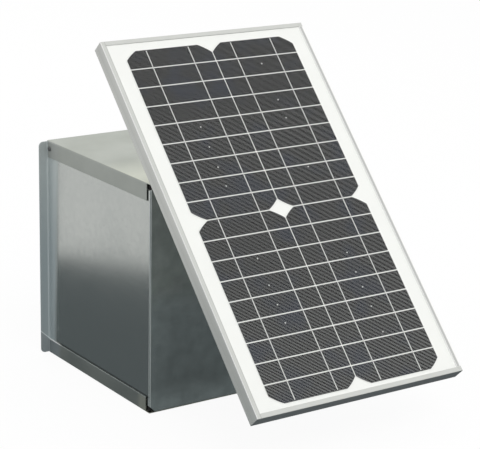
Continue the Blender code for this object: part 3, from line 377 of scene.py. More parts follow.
def skinPassedSteel():
    # Galvanised sheet rolled once more: a matt, even grey that only half mirrors what is round it.
    # It is painted greyer on the folded lips, as shade. It is a little warmer towards the front of the top,
    # and stained at the lower lips' front ends. The lips are dull next to the flanges, where the lower lips are
    # painted darker than the upper ones, as shade.
    # A painted highlight runs along the top edge of the lower lips, white next to the flanges.
    look = {"pale": "#bcc0b8", "dull": "#b4b8b0", "warm": "#d6d9cc", "warmBack": (-0.012, -0.090),
            "lip": "#9a9e99", "lipOut": (0.1519, 1.0, 0.0006), "endLow": "#8b9294", "endHigh": "#a4a8a4",
            "endBack": (0.1050, 1.0, 0.0110), "endRise": (0.15, 1.0, 0.05), "endMetal": 0.45, "endRough": 0.6,
            "lipEdgeHighlight": "#d9dedb", "lipEdgeHighlightEnd": "#ffffff", "lipEdgeHighlightUp": (0.0194, 0.0210, 0.0003),
            "stain": "#b9baae", "stainBack": (-0.103, -0.112), "stainUp": (-1.0, 0.022, 0.002),
            "cloudMm": 60, "grainMm": 1.2, "smooth": 0.42, "rough": 0.54, "relief": 0.03}
    material, add, place = newMaterial("skinPassedSteel")
    cloud = add("TexNoise", {"Vector": place, "Scale": every(look["cloudMm"]), "Detail": 5.0})
    grain = add("TexNoise", {"Vector": place, "Scale": every(look["grainMm"]), "Detail": 2.0})
    x, y, z = add("SeparateXYZ", [place]).outputs
    warmth, spread = [add("MapRange", [y, *look[limits]]) for limits in ("warmBack", "stainBack")]
    # The lips are painted greyer, as shade.
    folded = band(add, add("ABSOLUTE", [x]), *look["lipOut"])
    ended = add("MULTIPLY", [folded, band(add, y, *look["endBack"])])
    # Next to the flanges the lower lips are painted darker than the upper ones, as shade.
    ends = layered(add, look["endLow"], (band(add, z, *look["endRise"]), look["endHigh"]))
    stain = add("MULTIPLY", [band(add, z, *look["stainUp"]), spread])
    # Painted highlight along the lower lips' top edge, white next to the flanges.
    bright = layered(add, look["lipEdgeHighlight"], (ended, look["lipEdgeHighlightEnd"]))
    colour = layered(add, look["pale"], (cloud, look["dull"]), (warmth, look["warm"]), (folded, look["lip"]),
                     (ended, ends), (stain, look["stain"]), (band(add, z, *look["lipEdgeHighlightUp"]), bright))
    gloss = add("MapRange", [cloud, 0.3, 0.7, look["smooth"], look["rough"]])
    relief = add("Bump", {"Height": grain, "Strength": look["relief"], "Distance": 0.0002})
    metal = add("Mix", {0: ended, 2: 1.0, 3: look["endMetal"]})
    matt = add("Mix", {0: ended, 2: gloss, 3: look["endRough"]})
    return finished(material, {"Base Color": colour, "Metallic": metal, "Roughness": matt, "Normal": relief})


def panelCoords(add, place):
    # Across, along and out of the panel, from the object's own coordinates.
    return add("Mapping", {"Vector": place, "Location": panelSpace.to_translation(), "Rotation": (tilt, 0.0, 0.0)},
               vector_type="TEXTURE")


def anodisedAluminium():
    # Satin anodised extrusion: a soft grey that scatters light, with fine lines from the die along each length.
    # The right lip is painted paler, as light, and the left outer arris carries a painted highlight.
    # Grey lines of painted shade run along the right lip and along the left lip's inner edge. The side walls are
    # painted lighter towards the panel's lower end, and the lower edge is painted darker, as shade.
    look = {"pale": "#dadbd7", "dull": "#bfc1bc", "lineMm": 2.4, "cloudMm": 40, "cloudShare": 0.35, "relief": 0.06,
            "smooth": 0.36, "rough": 0.5, "metal": 0.35, "wallOut": (-1.0, 0.0184, 0.0003),
            "wallAlong": (0.0, 0.5, 1.10, 0.885), "lip": "#f4f4f2", "lipAcross": (0.1400, 1.0, 0.0003),
            "lipOut": (0.0165, 1.0, 0.0003), "lipAlong": (0.0068, 0.5112, 0.0005),
            "arrisHighlightAcross": (-1.0, -0.1521, 0.0002), "arrisHighlightOut": (0.0184, 1.0, 0.0003),
            "groove": "#bbbcba", "edgeShadeAcross": (0.1473, 0.1503, 0.0006),
            "seam": "#bdbeba", "innerShadeAcross": (-0.1475, -0.1466, 0.0004),
            "underShade": "#939594", "underAlong": (-1.0, 0.0003, 0.0003), "frontOut": (0.0190, 1.0, 0.0003)}
    material, add, place = newMaterial("anodisedAluminium")
    x, y, z = add("SeparateXYZ", [panelCoords(add, place)]).outputs
    line = add("TexNoise", {"Vector": add("CombineXYZ", {"Z": z}), "Scale": every(look["lineMm"]), "Detail": 2.0})
    cloud = add("TexNoise", {"Vector": place, "Scale": every(look["cloudMm"]), "Detail": 3.0})
    both = add("Mix", {0: look["cloudShare"], 2: add("MapRange", [line, 0.35, 0.65]), 3: cloud})
    # Painted light: the walls are lighter towards the panel's lower end and darker towards its upper end.
    along = add("MapRange", [y, *look["wallAlong"]])
    wall = add("Mix", {0: band(add, z, *look["wallOut"]), 2: 1.0, 3: along})
    tone = layered(add, look["pale"], (both, look["dull"]))
    satin = add("VectorMath", {0: tone, "Scale": wall}, operation="SCALE")
    # Painted light: the right lip is paler, as lit.
    right = add("MULTIPLY", [band(add, x, *look["lipAcross"]), band(add, z, *look["lipOut"])])
    ended = add("MULTIPLY", [right, band(add, y, *look["lipAlong"])])
    # Painted highlight along the left rail's outer arris.
    left = add("MULTIPLY", [band(add, x, *look["arrisHighlightAcross"]), band(add, z, *look["arrisHighlightOut"])])
    # The groove is a grey line of painted shade along the right lip, towards its outer edge.
    groove = add("MULTIPLY", [ended, band(add, x, *look["edgeShadeAcross"])])
    # Painted shade: the frame's lower edge, below its front face, is darker.
    under = add("SUBTRACT", [band(add, y, *look["underAlong"]), band(add, z, *look["frontOut"])], use_clamp=True)
    # The seam is a grey line of painted shade along the left lip's inner edge.
    colour = layered(add, satin, (add("MAXIMUM", [ended, left]), look["lip"]), (groove, look["groove"]),
                     (band(add, x, *look["innerShadeAcross"]), look["seam"]), (under, look["underShade"]))
    gloss = add("MapRange", {0: both, 3: look["smooth"], 4: look["rough"]})
    relief = add("Bump", {"Height": line, "Strength": look["relief"], "Distance": 0.0001})
    return finished(material, {"Base Color": colour, "Metallic": look["metal"], "Roughness": gloss,
                               "Normal": relief})


def lowIronGlass():
    # Tempered low-iron sheet: clear, with a barely dimpled face. The coating against reflections makes it mirror
    # far less than plain glass, which the low IOR stands for.
    look = {"tint": "#ffffff", "dimpleMm": 2.5, "relief": 0.02, "rough": 0.04, "ior": 1.2}
    material, add, place = newMaterial("lowIronGlass")
    dimple = add("TexNoise", {"Vector": place, "Scale": every(look["dimpleMm"]), "Detail": 1.0})
    relief = add("Bump", {"Height": dimple, "Strength": look["relief"], "Distance": 0.0002})
    return finished(material, {"Base Color": look["tint"], "Roughness": look["rough"], "IOR": look["ior"],
                               "Transmission Weight": 1.0, "Normal": relief})


def monoSilicon():
    # Etched single-crystal wafer with an anti-reflection film: near-black grey that goes blue in places.
    # The printed fingers are too fine to show. They are drawn as the slanting stripes that they make in a picture,
    # which are 4 mm apart at the panel's lower end and get wider and fainter towards its upper end.
    look = {"dark": "#141414", "light": "#676867", "blue": "#343b4a", "blueShare": 0.35, "level": 0.22,
            "swing": 0.48, "slant": (0.656, 0.755, 0.0), "perMetre": 241, "widening": 186, "cloudMm": 45,
            "fade": (0.04, 0.22, 1.0, 0.46), "end": (0.36, 0.42, 1.0, 0.35), "rough": 0.45, "specular": 0.04}
    material, add, place = newMaterial("monoSilicon")
    flat = panelCoords(add, place)
    reach = add("VectorMath", [flat, look["slant"]], operation="DOT_PRODUCT")
    pitch = add("MULTIPLY_ADD", [reach, -2 * pi * look["widening"], 2 * pi * look["perMetre"]])
    turn = add("MULTIPLY", [reach, pitch])
    stripe = add("SINE", [turn])
    along = add("SeparateXYZ", [flat]).outputs["Y"]
    share = add("MULTIPLY", [add("MapRange", [along, *look[limits]]) for limits in ("fade", "end")])
    lifted = add("MULTIPLY_ADD", [stripe, look["swing"], 0.5 - look["level"]])
    drawn = add("MULTIPLY_ADD", [lifted, share, look["level"]])
    cloud = add("TexNoise", {"Vector": flat, "Scale": every(look["cloudMm"]), "Detail": 2.0})
    hue = add("MapRange", [cloud, 0.5, 0.7, 0.0, look["blueShare"]])
    colour = layered(add, look["dark"], (drawn, look["light"]), (hue, look["blue"]))
    return finished(material, {"Base Color": colour, "Roughness": look["rough"],
                               "Specular IOR Level": look["specular"]})


def laminatedCore():
    # Stacked motor laminations: dark varnished steel with a thin line at each sheet, drawn at twice the real pitch.
    look = {"dark": "#3a3632", "light": "#7c766f", "sheetMm": 1.0, "relief": 0.3, "metal": 0.7, "rough": 0.5}
    wavesPerMetre = 3.183  # of the wave texture at scale 1
    material, add, place = newMaterial("laminatedCore")
    sheets = add("TexWave", {"Vector": place, "Scale": every(look["sheetMm"]) / wavesPerMetre}, wave_type="BANDS",
                 bands_direction="Y").outputs["Fac"]
    colour = layered(add, look["dark"], (sheets, look["light"]))
    relief = add("Bump", {"Height": sheets, "Strength": look["relief"], "Distance": 0.0002})
    return finished(material, {"Base Color": colour, "Metallic": look["metal"], "Roughness": look["rough"],
                               "Normal": relief})


def mottled(name, look):
    # Two tones that drift into each other, under a fine grain that breaks the gloss.
    material, add, place = newMaterial(name)
    cloud, grain = [add("TexNoise", {"Vector": place, "Scale": every(look[kind + "Mm"]),
                                     "Detail": look[kind + "Detail"]}) for kind in ("cloud", "grain")]
    colour = layered(add, look["first"], (cloud, look["second"]))
    gloss = look["rough"]
    if "smooth" in look:
        gloss = add("MapRange", {0: grain, 3: look["smooth"], 4: gloss})
    relief = add("Bump", {"Height": grain, "Strength": look["relief"], "Distance": look["depth"]})
    return finished(material, {"Base Color": colour, "Metallic": look["metal"], "Roughness": gloss,
                               "Normal": relief})


# Panel's own space: across from its middle, along from its lower edge, out from its back.
tilt = radians(46.4)
pivot = Vector((0, -0.0928, 0.3166))
pivotAlong = 0.36499
pivotOut = 0.01413
panelSpace = (Matrix.Translation(pivot) @ Matrix.Rotation(tilt, 4, "X")
              @ Matrix.Translation((0, -pivotAlong, pivotOut)))

galvanised = galvanisedSteel()
skinPassed = skinPassedSteel()
anodised = anodisedAluminium()
glass = lowIronGlass()
silicon = monoSilicon()
core = laminatedCore()
# Dipped ribbon: pale silver with a slightly lumpy solder skin.
tinned = mottled("tinnedCopper", {
    "first": "#d9dad7", "second": "#c4c6c3", "cloudMm": 3, "cloudDetail": 2.0, "grainMm": 3, "grainDetail": 2.0,
    "rough": 0.42, "relief": 0.2, "depth": 0.0002, "metal": 0.4})
# White laminated polyester film: matte, faintly embossed by the lamination cloth.
film = mottled("backsheetFilm", {
    "first": "#eff0ec", "second": "#e9eae6", "cloudMm": 50, "cloudDetail": 3.0, "grainMm": 1.5, "grainDetail": 2.0,
    "rough": 0.55, "relief": 0.15, "depth": 0.0002, "metal": 0.0})
# Moulded in one piece, with a fine spark texture and slight clouding from the flow.
moulded = {"cloudDetail": 2.0, "grainDetail": 3.0, "depth": 0.0003, "metal": 0.0}
blackPlastic = mottled("mouldedPolyphenylene", {
    **moulded, "first": "#151516", "second": "#202122", "cloudMm": 25, "grainMm": 0.8, "smooth": 0.42, "rough": 0.6,
    "relief": 0.12})
rubber = mottled("mouldedRubber", {
    **moulded, "first": "#121212", "second": "#1d1d1c", "cloudMm": 12, "grainMm": 0.6, "smooth": 0.65,
    "rough": 0.85, "relief": 0.1})
foam = mottled("closedCellFoam", {
    **moulded, "first": "#0d0d0d", "second": "#171717", "cloudMm": 6, "grainMm": 0.9, "smooth": 0.8, "rough": 0.95,
    "relief": 0.5})
fanNylon = mottled("glassFilledNylon", {
    **moulded, "first": "#26282a", "second": "#35383a", "cloudMm": 30, "grainMm": 1.2, "smooth": 0.38,
    "rough": 0.55, "relief": 0.08})
motorEnamel = mottled("bakedEnamel", {
    **moulded, "first": "#1b1c1e", "second": "#26282a", "cloudMm": 40, "grainMm": 1.5, "smooth": 0.25,
    "rough": 0.38, "relief": 0.12})
# Thin plating over steel: clear highlights, with the tone drifting a little from place to place.
plated = {"cloudDetail": 4.0, "grainDetail": 2.0, "depth": 0.0001, "grainMm": 0.7, "relief": 0.05}
brightZinc = mottled("brightZinc", {
    **plated, "first": "#b4b6b4", "second": "#cfd0c8", "cloudMm": 14, "smooth": 0.26, "rough": 0.42, "metal": 1.0})
blackZinc = mottled("blackZinc", {
    **plated, "first": "#1d1e1f", "second": "#303234", "cloudMm": 10, "smooth": 0.32, "rough": 0.5, "metal": 0.5})
agedZinc = mottled("agedZinc", {
    **plated, "first": "#4e5051", "second": "#7b7d7e", "cloudMm": 10, "smooth": 0.4, "rough": 0.6, "metal": 0.5})
# Steel that is only ground: the same, with a finer grain and sharper highlights.
groundSteel = mottled("groundSteel", {
    **plated, "first": "#a5a6a6", "second": "#c0c1c1", "cloudMm": 8, "smooth": 0.16, "rough": 0.3, "metal": 1.0,
    "grainMm": 0.3, "relief": 0.04})
print("materials made")


# Camera and light

def setCamera():
    view = {"place": (-1.2489, -1.9348, 0.8551), "turn": (73.940, -1.093, -33.952), "lens": 135.87, "sensor": 36}
    camera = newPiece("camera", bpy.data.cameras.new("camera"))
    camera.data.sensor_width = view["sensor"]
    camera.data.lens = view["lens"]
    camera.location = view["place"]
    camera.rotation_euler = [radians(a) for a in view["turn"]]
    scene.camera = camera


def seenDirectly(add):
    # 1 where the camera, a mirror or glass looks at the background, 0 where it only gives light.
    path = add("LightPath").outputs
    seen = add("MAXIMUM", [path["Is Camera Ray"], path["Is Glossy Ray"]])
    return add("MAXIMUM", [seen, path["Is Transmission Ray"]])


def setWorld(ambient):
    scene.world = bpy.data.worlds.new("studio")
    scene.world.use_nodes = True
    scene.world.node_tree.nodes.clear()
    add = partial(addNode, scene.world.node_tree)
    strength = add("MapRange", {0: seenDirectly(add), 3: ambient, 4: 1.0})
    add("OutputWorld", [add("Background", ["#ffffff", strength])])


def onlySeen(material, shader):
    # The shader takes the place of the usual one, and what it glows is seen or mirrored but lights nothing.
    tree = material.node_tree
    tree.nodes.remove(tree.nodes["Principled BSDF"])
    feed(tree, tree.nodes["Material Output"], [shader])
    material.cycles.emission_sampling = "NONE"


def setGround():
    # A white paper floor, and a card on it in front of the box that glows a fixed grey. The camera sees only
    # the paper. The card is a painted reflection: the dark ground that the front and the lower half of the left
    # side mirror, and the grey that it glows also lights what is above it.
    # From below it is clear, so that it takes no light from the paper.
    ground = {"paper": "#f4f4f4", "glow": 0.93, "glowingGrey": "#70777a", "reach": 40.0, "cardReach": 4.0,
              "cardEdge": [(4.0, 0.635), (-0.30, 0.635), (-0.62, 0.135), (-4.0, 0.135)], "drop": 0.0004}
    paper, add, _ = newMaterial("whitePaper")
    share = add("MULTIPLY", [seenDirectly(add), ground["glow"]])
    lit = add("BsdfDiffuse", [ground["paper"]])
    onlySeen(paper, add("MixShader", [share, lit, add("Emission", ["#ffffff", 1.0])]))
    glowingGrey, add, _ = newMaterial("glowingGreyCard")
    under = add("NewGeometry").outputs["Backfacing"]
    tone = add("Emission", [ground["glowingGrey"], 1.0])
    onlySeen(glowingGrey, add("MixShader", [under, tone, add("BsdfTransparent")]))
    far, near = ground["reach"], ground["cardReach"]
    sheets = [("floor", rectangle(-far, -far, far, far), -2 * ground["drop"], paper),
              ("groundCloth", [(-near, -near), (near, -near)] + ground["cardEdge"], -ground["drop"], glowingGrey)]
    for name, corners, height, finish in sheets:
        bm = bmesh.new()
        bm.faces.new([bm.verts.new((x, y, height)) for x, y in corners])
        sheet = pieceOf(bm, name, tidy=False)
        sheet.data.materials.append(finish)
    sheet.visible_camera = False  # the glowing card
    sheet.visible_shadow = False
    sheet.visible_transmission = False


def addLamp(name, place, aim, size, power):
    lamp = newPiece(name, bpy.data.lights.new(name, "AREA"))
    lamp.data.size = size
    lamp.data.energy = power
    lamp.location = place
    lamp.rotation_euler = (Vector(aim) - Vector(place)).to_track_quat("-Z", "Y").to_euler()
    lamp.visible_glossy = False
    lamp.visible_camera = False


# Where each lamp stands, where it points, its size and its power.
lamps = {"softKey": ((-0.6, -2.4, 3.0), (0, -0.1, 0.2), 1.8, 42),
         "softFill": ((2.2, -1.8, 1.0), (0, -0.2, 0.1), 1.6, 14),
         "softBack": ((0.6, 2.8, 2.2), (0, 0, 0.2), 1.6, 16)}

setCamera()
setWorld(ambient=0.80)
setGround()
for name, settings in lamps.items():
    addLamp(name, *settings)
print("camera, ground and light set")


# Housing of bent sheet

housing = {"halfWidth": 0.1512, "halfDepth": 0.1308, "height": 0.2966, "sheet": 0.0010, "fit": 0.0003,
           "bend": 0.0022, "flange": 0.0135, "flangeCorner": 0.0060, "notch": 0.0080, "setback": 0.0070,
           "topLip": 0.0224, "bottomLip": 0.0200, "lipBack": 0.1275, "edge": 0.00015}
lipFace = housing["halfWidth"] + housing["fit"] + housing["sheet"]
clear = 0.004  # how far a cutter stands out past what it cuts
facingFront = Matrix.Rotation(radians(90), 4, "X")  # local z to the front
facingBack = Matrix.Rotation(radians(-90), 4, "X")  # local z to the back


def housingWrap():
    # Left side, front and right side in one sheet, with a flange turned out at each back edge.
    h = housing
    low = h["sheet"] + h["fit"]
    high = h["height"] - low
    face, front = h["halfDepth"] - h["sheet"], -h["halfDepth"]
    side, reach = h["halfWidth"], h["halfWidth"] + h["flange"]
    path = [(-reach, face), (-side, face), (-side, front), (side, front), (side, face), (reach, face)]
    bm = bentSheet([(x, y, low) for x, y in path], (0, 0, high - low), h["bend"])
    ends = [v for v in bm.verts if abs(v.co.x) > reach - h["fit"]]
    bmesh.ops.bevel(bm, geom=ends, offset=h["flangeCorner"], segments=8, profile=0.5, affect="VERTICES")
    wrap = thickened(bm, "housingWrap", h["sheet"])
    bm = bmesh.new()
    half = h["notch"] * sqrt(2)
    shape = Matrix.Rotation(radians(45), 4, "Y") @ Matrix.Diagonal((half, 2 * h["setback"], half, 1))
    for x in (-side, side):
        for z in (low, high):
            bmesh.ops.create_cube(bm, matrix=Matrix.Translation((x, front, z)) @ shape)
    hole = roundBar(grommet["hole"], place=Matrix.Translation(grommet["place"]) @ facingFront)
    combined(wrap, [pieceOf(bm, "notches", tidy=False), hole], "DIFFERENCE")
    dress(softened(wrap, h["edge"]), galvanised, "housing", "galvanised", "housing_wrap")


grommet = {"place": (0.0600, -0.1303, 0.2266), "hole": 0.0090, "bore": 0.0040, "rim": 0.0120, "length": 0.0070,
           "groove": 0.0008, "round": 0.0014, "grooveRound": 0.0006}


def cableGrommet():
    g = grommet
    half, waist, groove = g["length"] / 2, g["hole"] - housing["fit"], g["groove"]
    outline = [(g["bore"], half), (g["rim"], half), (g["rim"], groove), (waist, groove),
               (waist, -groove), (g["rim"], -groove), (g["rim"], -half), (g["bore"], -half)]
    rounds = [g["round"], g["round"], g["grooveRound"], 0, 0, g["grooveRound"], g["round"], g["round"]]
    ring = lathe("cableGrommet", filleted(outline, rounds), 48, True, Matrix.Translation(g["place"]) @ facingFront)
    dress(shaded(ring), rubber, "housing", "rubber", "cable_grommet")


def pan(name, flat, rim, node):
    # A flat sheet with a lip folded over each side. The lips stop short of the front.
    h = housing
    front, back = -h["halfDepth"], h["halfDepth"]
    path = [(-lipFace, rim), (-lipFace, flat), (lipFace, flat), (lipFace, rim)]
    if flat < rim:
        path.reverse()
    bm = bentSheet([(x, front, z) for x, z in path], (0, back - front, 0), h["bend"])
    sheet = thickened(bm, name, h["sheet"])
    up = 1 if flat > rim else -1
    low, high = sorted((rim - up * clear, flat - up * h["sheet"]))
    ends = []
    for side in (-1, 1):
        near, far = sorted((side * (lipFace - h["bend"]), side * (lipFace + clear)))
        ends += [((near, front - clear, low), (far, front + h["setback"], high)),
                 ((near, h["lipBack"], low), (far, back + clear, high))]
    cuts = [boxes("ends", ends)]
    if flat < rim:
        cuts.append(intakeWindows())
    combined(sheet, cuts, "DIFFERENCE")
    dress(softened(sheet, h["edge"]), skinPassed, "housing", "galvanised", node)


intake = {"near": 0.0200, "far": 0.1245, "front": -0.1048, "length": 0.1700, "corner": 0.0080}


def intakeWindows():
    front, back = intake["front"], intake["front"] + intake["length"]
    outlines = [filleted(rectangle(side * intake["near"], front, side * intake["far"], back), intake["corner"])
                for side in (-1, 1)]
    return slabs("windows", outlines, -clear, clear)


seal = {"width": 0.0110, "height": 0.0120, "round": 0.0025, "gap": 0.0004, "edge": 0.0008}


def foamSeals():
    # Closed-cell foam strips in the front corners, under the top pan and on the bottom pan. They close the clipped
    # corners of the wrap.
    inset = housing["sheet"] + seal["gap"]
    near, half = inset - housing["halfDepth"], housing["halfWidth"] - inset
    outlines = [filleted(rectangle(near, low, near + seal["width"], low + seal["height"]), seal["round"])
                for low in (inset, housing["height"] - inset - seal["height"])]
    sideways = Matrix(((0, 0, 1, 0), (1, 0, 0, 0), (0, 1, 0, 0), (0, 0, 0, 1)))
    strips = slabs("foamSeals", outlines, -half, half, sideways)
    dress(softened(strips, seal["edge"]), foam, "housing", "rubber")


housingWrap()
foamSeals()
cableGrommet()
pan("topPan", housing["height"], housing["height"] - housing["topLip"], "top_pan")
pan("bottomPan", 0.0, housing["bottomLip"], "bottom_pan")
print("housing folded")


# Solar panel

panel = {"width": 0.3050, "length": 0.5180, "depth": 0.0195, "wall": 0.0015, "lip": 0.0062, "shelf": 0.0065,
         "shelfBack": 0.0112, "shelfFront": 0.0125, "flange": 0.0150, "edge": 0.0007, "mitre": 0.0001,
         "rounds": [0.0004, 0.0004, 0.0005, 0.0004, 0.0003, 0.0003, 0.0003, 0.0003, 0.0002]}


def panelFrame():
    # Four mitred lengths of one extrusion: wall, front lip, shelf under the glass and back flange.
    p = panel
    wall, shelf, edge, lipBack = p["wall"], p["shelf"], p["edge"], p["depth"] - p["wall"]
    section = [(0, 0), (p["flange"], 0), (p["flange"], wall), (wall, wall), (wall, p["shelfBack"]),
               (shelf, p["shelfBack"]), (shelf, p["shelfFront"]), (wall, p["shelfFront"]), (wall, lipBack),
               (p["lip"], lipBack), (p["lip"], p["depth"]), (0, p["depth"])]
    outline = filleted(section, [edge, *p["rounds"], edge, edge], 4)
    across, along = p["width"] / 2, p["length"] / 2
    sides = [("Left", 0, along, (-across, along)), ("Bottom", 90, across, (0, 0)),
             ("Right", 180, along, (across, along)), ("Top", 270, across, (0, p["length"]))]
    for word, turn, half, middle in sides:
        bm = bmesh.new()
        rings = [[bm.verts.new((inward, end * (half - inward - p["mitre"]), out)) for inward, out in outline]
                 for end in (-1, 1)]
        for ring in rings:
            bm.faces.new(ring)
        bridge(bm, *rings)
        place = panelSpace @ Matrix.Translation((*middle, 0)) @ Matrix.Rotation(radians(turn), 4, "Z")
        rail = shaded(pieceOf(bm, "frame" + word, place), 30)
        dress(rail, anodised, "panel", "anodised", "frame_" + word.lower())
        lightPasses(rail)  # the film stays white up to the lips


def lightPasses(piece):
    piece.visible_shadow = False
    piece.visible_diffuse = False


laminate = {"edge": 0.0020, "glassBack": 0.0145, "glassFront": 0.0177, "filmBack": 0.0128, "filmFront": 0.0135,
            "cellBack": 0.0138, "cellFront": 0.01415, "ribbonFront": 0.0144, "arris": 0.125, "corner": 0.002}


def pane(name, back, front, finish, slot, node):
    # The arris is a share of the thickness.
    side, low = panel["width"] / 2 - laminate["edge"], laminate["edge"]
    outline = filleted(rectangle(-side, low, side, panel["length"] - low), laminate["corner"])
    piece = softened(slabs(name, [outline], back, front, panelSpace), laminate["arris"] * (front - back))
    return dress(piece, finish, "panel", slot, node)


cells = {"rows": 18, "columns": 2, "width": 0.1250, "height": 0.0256, "rowGap": 0.0017, "columnGap": 0.0016,
         "lowest": 0.0128, "shift": 0.0025, "clipAcross": 0.0170, "clipAlong": 0.0125, "clipBow": 0.0007,
         "ribbons": (0.0940, 0.0323), "ribbonWidth": 0.0013, "ribbonInset": 0.0012, "ribbonEdge": 0.00006}
rowPitch = cells["height"] + cells["rowGap"]


def cellShape(name, clipped):
    # One wafer about its own middle. The clipped one is cut from a wafer with round corners.
    half, rise = cells["width"] / 2, cells["height"] / 2
    right = [(half, -rise), (half, rise)]
    if clipped:
        start = Vector((half - cells["clipAcross"], -rise))
        end = Vector((half, -rise + cells["clipAlong"]))
        out = Vector((cells["clipAlong"], -cells["clipAcross"])).normalized() * cells["clipBow"]
        steps = [k / 6 for k in range(7)]
        right = [start.lerp(end, t) + out * (4 * t * (1 - t)) for t in steps] + [(half, rise)]
    left = [(-x, y) for x, y in reversed(right)]
    return slabs(name, [right + left], laminate["cellBack"], laminate["cellFront"])


def cellTree():
    # A column of cells, clipped at both ends and at its middle, repeated across the panel.
    tree, add, given = newTree("cellField", {"Cell": "Object", "Clipped Cell": "Object", "Rows": "Int",
                                             "Columns": "Int", "Row Pitch": "Float", "Column Pitch": "Float"})
    index = add("InputIndex")
    half = add("DIVIDE", [given["Rows"], 2.0])
    rank = add("MODULO", [index, half])
    last = add("SUBTRACT", [half, 1.5])
    first = add("LESS_THAN", [rank, 0.5])
    turned = add("GREATER_THAN", [rank, last])
    clipped = add("MAXIMUM", [first, turned])
    whole = add("SUBTRACT", [1.0, clipped])
    turn = add("CombineXYZ", {"Z": add("MULTIPLY", [turned, pi])})
    up = add("CombineXYZ", {"Y": given["Row Pitch"]})
    rows = add("MeshLine", {"Count": given["Rows"], "Offset": up}, mode="OFFSET")
    both = add("JoinGeometry")
    for label, choice in (("Cell", whole), ("Clipped Cell", clipped)):
        shape = add("ObjectInfo", {"Object": given[label]}).outputs["Geometry"]
        put = add("InstanceOnPoints", {"Points": rows, "Selection": choice, "Instance": shape, "Rotation": turn})
        feed(tree, both, [put])
    across = add("CombineXYZ", {"X": given["Column Pitch"]})
    columns = add("MeshLine", {"Count": given["Columns"], "Offset": across}, mode="OFFSET")
    field = add("InstanceOnPoints", {"Points": columns, "Instance": both})
    return endTree(tree, field, given["Finish"])


def siliconCells():
    c = cells
    shapes = [cellShape("cell", False), cellShape("clippedCell", True)]
    pitch = c["width"] + c["columnGap"]
    field = grown("siliconCells", cellTree(), {
        "Cell": shapes[0], "Clipped Cell": shapes[1], "Rows": c["rows"], "Columns": c["columns"],
        "Row Pitch": rowPitch, "Column Pitch": pitch, "Finish": silicon})
    start = Matrix.Translation((c["shift"] - pitch / 2, c["lowest"] + c["height"] / 2, 0))
    field.data.transform(panelSpace @ start)
    for shape in shapes:
        bpy.data.objects.remove(shape)
    dress(shaded(field), silicon, "panel", "silicon", "cell_string_left", "cell_string_right")


def cellRibbons():
    # Two tinned ribbons along each column.
    c = cells
    low = c["lowest"] + c["ribbonInset"]
    high = c["lowest"] + c["rows"] * rowPitch - c["rowGap"] - c["ribbonInset"]
    half = c["ribbonWidth"] / 2
    middles = [c["shift"] + side * r for r in c["ribbons"] for side in (-1, 1)]
    ribbons = slabs("cellRibbons", [rectangle(x - half, low, x + half, high) for x in middles],
                    laminate["cellFront"], laminate["ribbonFront"], panelSpace)
    dress(softened(ribbons, c["ribbonEdge"], 1), tinned, "panel", "zinc")


panelFrame()
lightPasses(pane("solarPane", laminate["glassBack"], laminate["glassFront"], glass, "glass", "solar_glass"))
pane("backsheetPane", laminate["filmBack"], laminate["filmFront"], film, "white_film", "backsheet")
siliconCells()
cellRibbons()
print("panel framed and laminated")


# Fasteners

def fastenerTree():
    # One shape at each given point, turned as the point's own "turn" says.
    tree, add, given = newTree("fasteners", {"Shape": "Object"})
    turn = add("InputNamedAttribute", {"Name": "turn"}, data_type="FLOAT_VECTOR")
    rotation = add("EulerToRotation", [turn])
    shape = add("ObjectInfo", {"Object": given["Shape"]}).outputs["Geometry"]
    put = add("InstanceOnPoints", {"Points": given["Geometry"], "Rotation": rotation, "Instance": shape})
    return endTree(tree, put, given["Finish"])


fastenersAtPoints = fastenerTree()


def fasten(name, shape, places, finish, body, slot, *nodes):
    # Each place is a point and the way that the shape's z points there.
    mesh = bpy.data.meshes.new(name)
    mesh.from_pydata([point for point, _ in places], [], [])
    turns = mesh.attributes.new("turn", "FLOAT_VECTOR", "POINT")
    for k, (_, way) in enumerate(places):
        turns.data[k].vector = Vector(way).to_track_quat("Z", "Y").to_euler()
    piece = grown(name, fastenersAtPoints, {"Shape": shape, "Finish": finish}, mesh)
    bpy.data.objects.remove(shape)
    return dress(shaded(piece), finish, body, slot, *nodes)


def fastenPair(name, shape, point, way, finish, body, slot, node):
    # On the right, and mirrored on the left.
    places = [[(side * v[0], v[1], v[2]) for v in (point, way)] for side in (-1, 1)]
    fasten(name, shape, places, finish, body, slot, node + "_left", node + "_right")


spots = {"width": 0.0019, "height": 0.00022, "shoulder": 0.6, "leftAcross": -0.0608, "rightAcross": 0.0673,
         "leftRows": (3.53, 4.43, 5.40, 6.74, 10.48, 11.47, 12.54, 13.61),
         "rightRows": (2.18, 3.48, 4.47, 5.24, 6.25, 10.83, 13.51, 14.51, 16.55)}
panelOut = panelSpace.to_3x3() @ Vector((0, 0, 1))


def solderSpots():
    # Small round solder spots on some of the cells, between their ribbons.
    s = spots
    reach, rise = s["width"] / 2, s["height"]
    profile = [(0, 0), (reach, 0), (reach, rise / 2), (reach * s["shoulder"], rise), (0, rise)]
    places = [(panelSpace @ Vector((s[side + "Across"], cells["lowest"] + row * rowPitch, laminate["cellFront"])),
               panelOut) for side in ("left", "right") for row in s[side + "Rows"]]
    fasten("solderSpots", lathe("spot", profile, 16), places, tinned, "panel", "zinc")


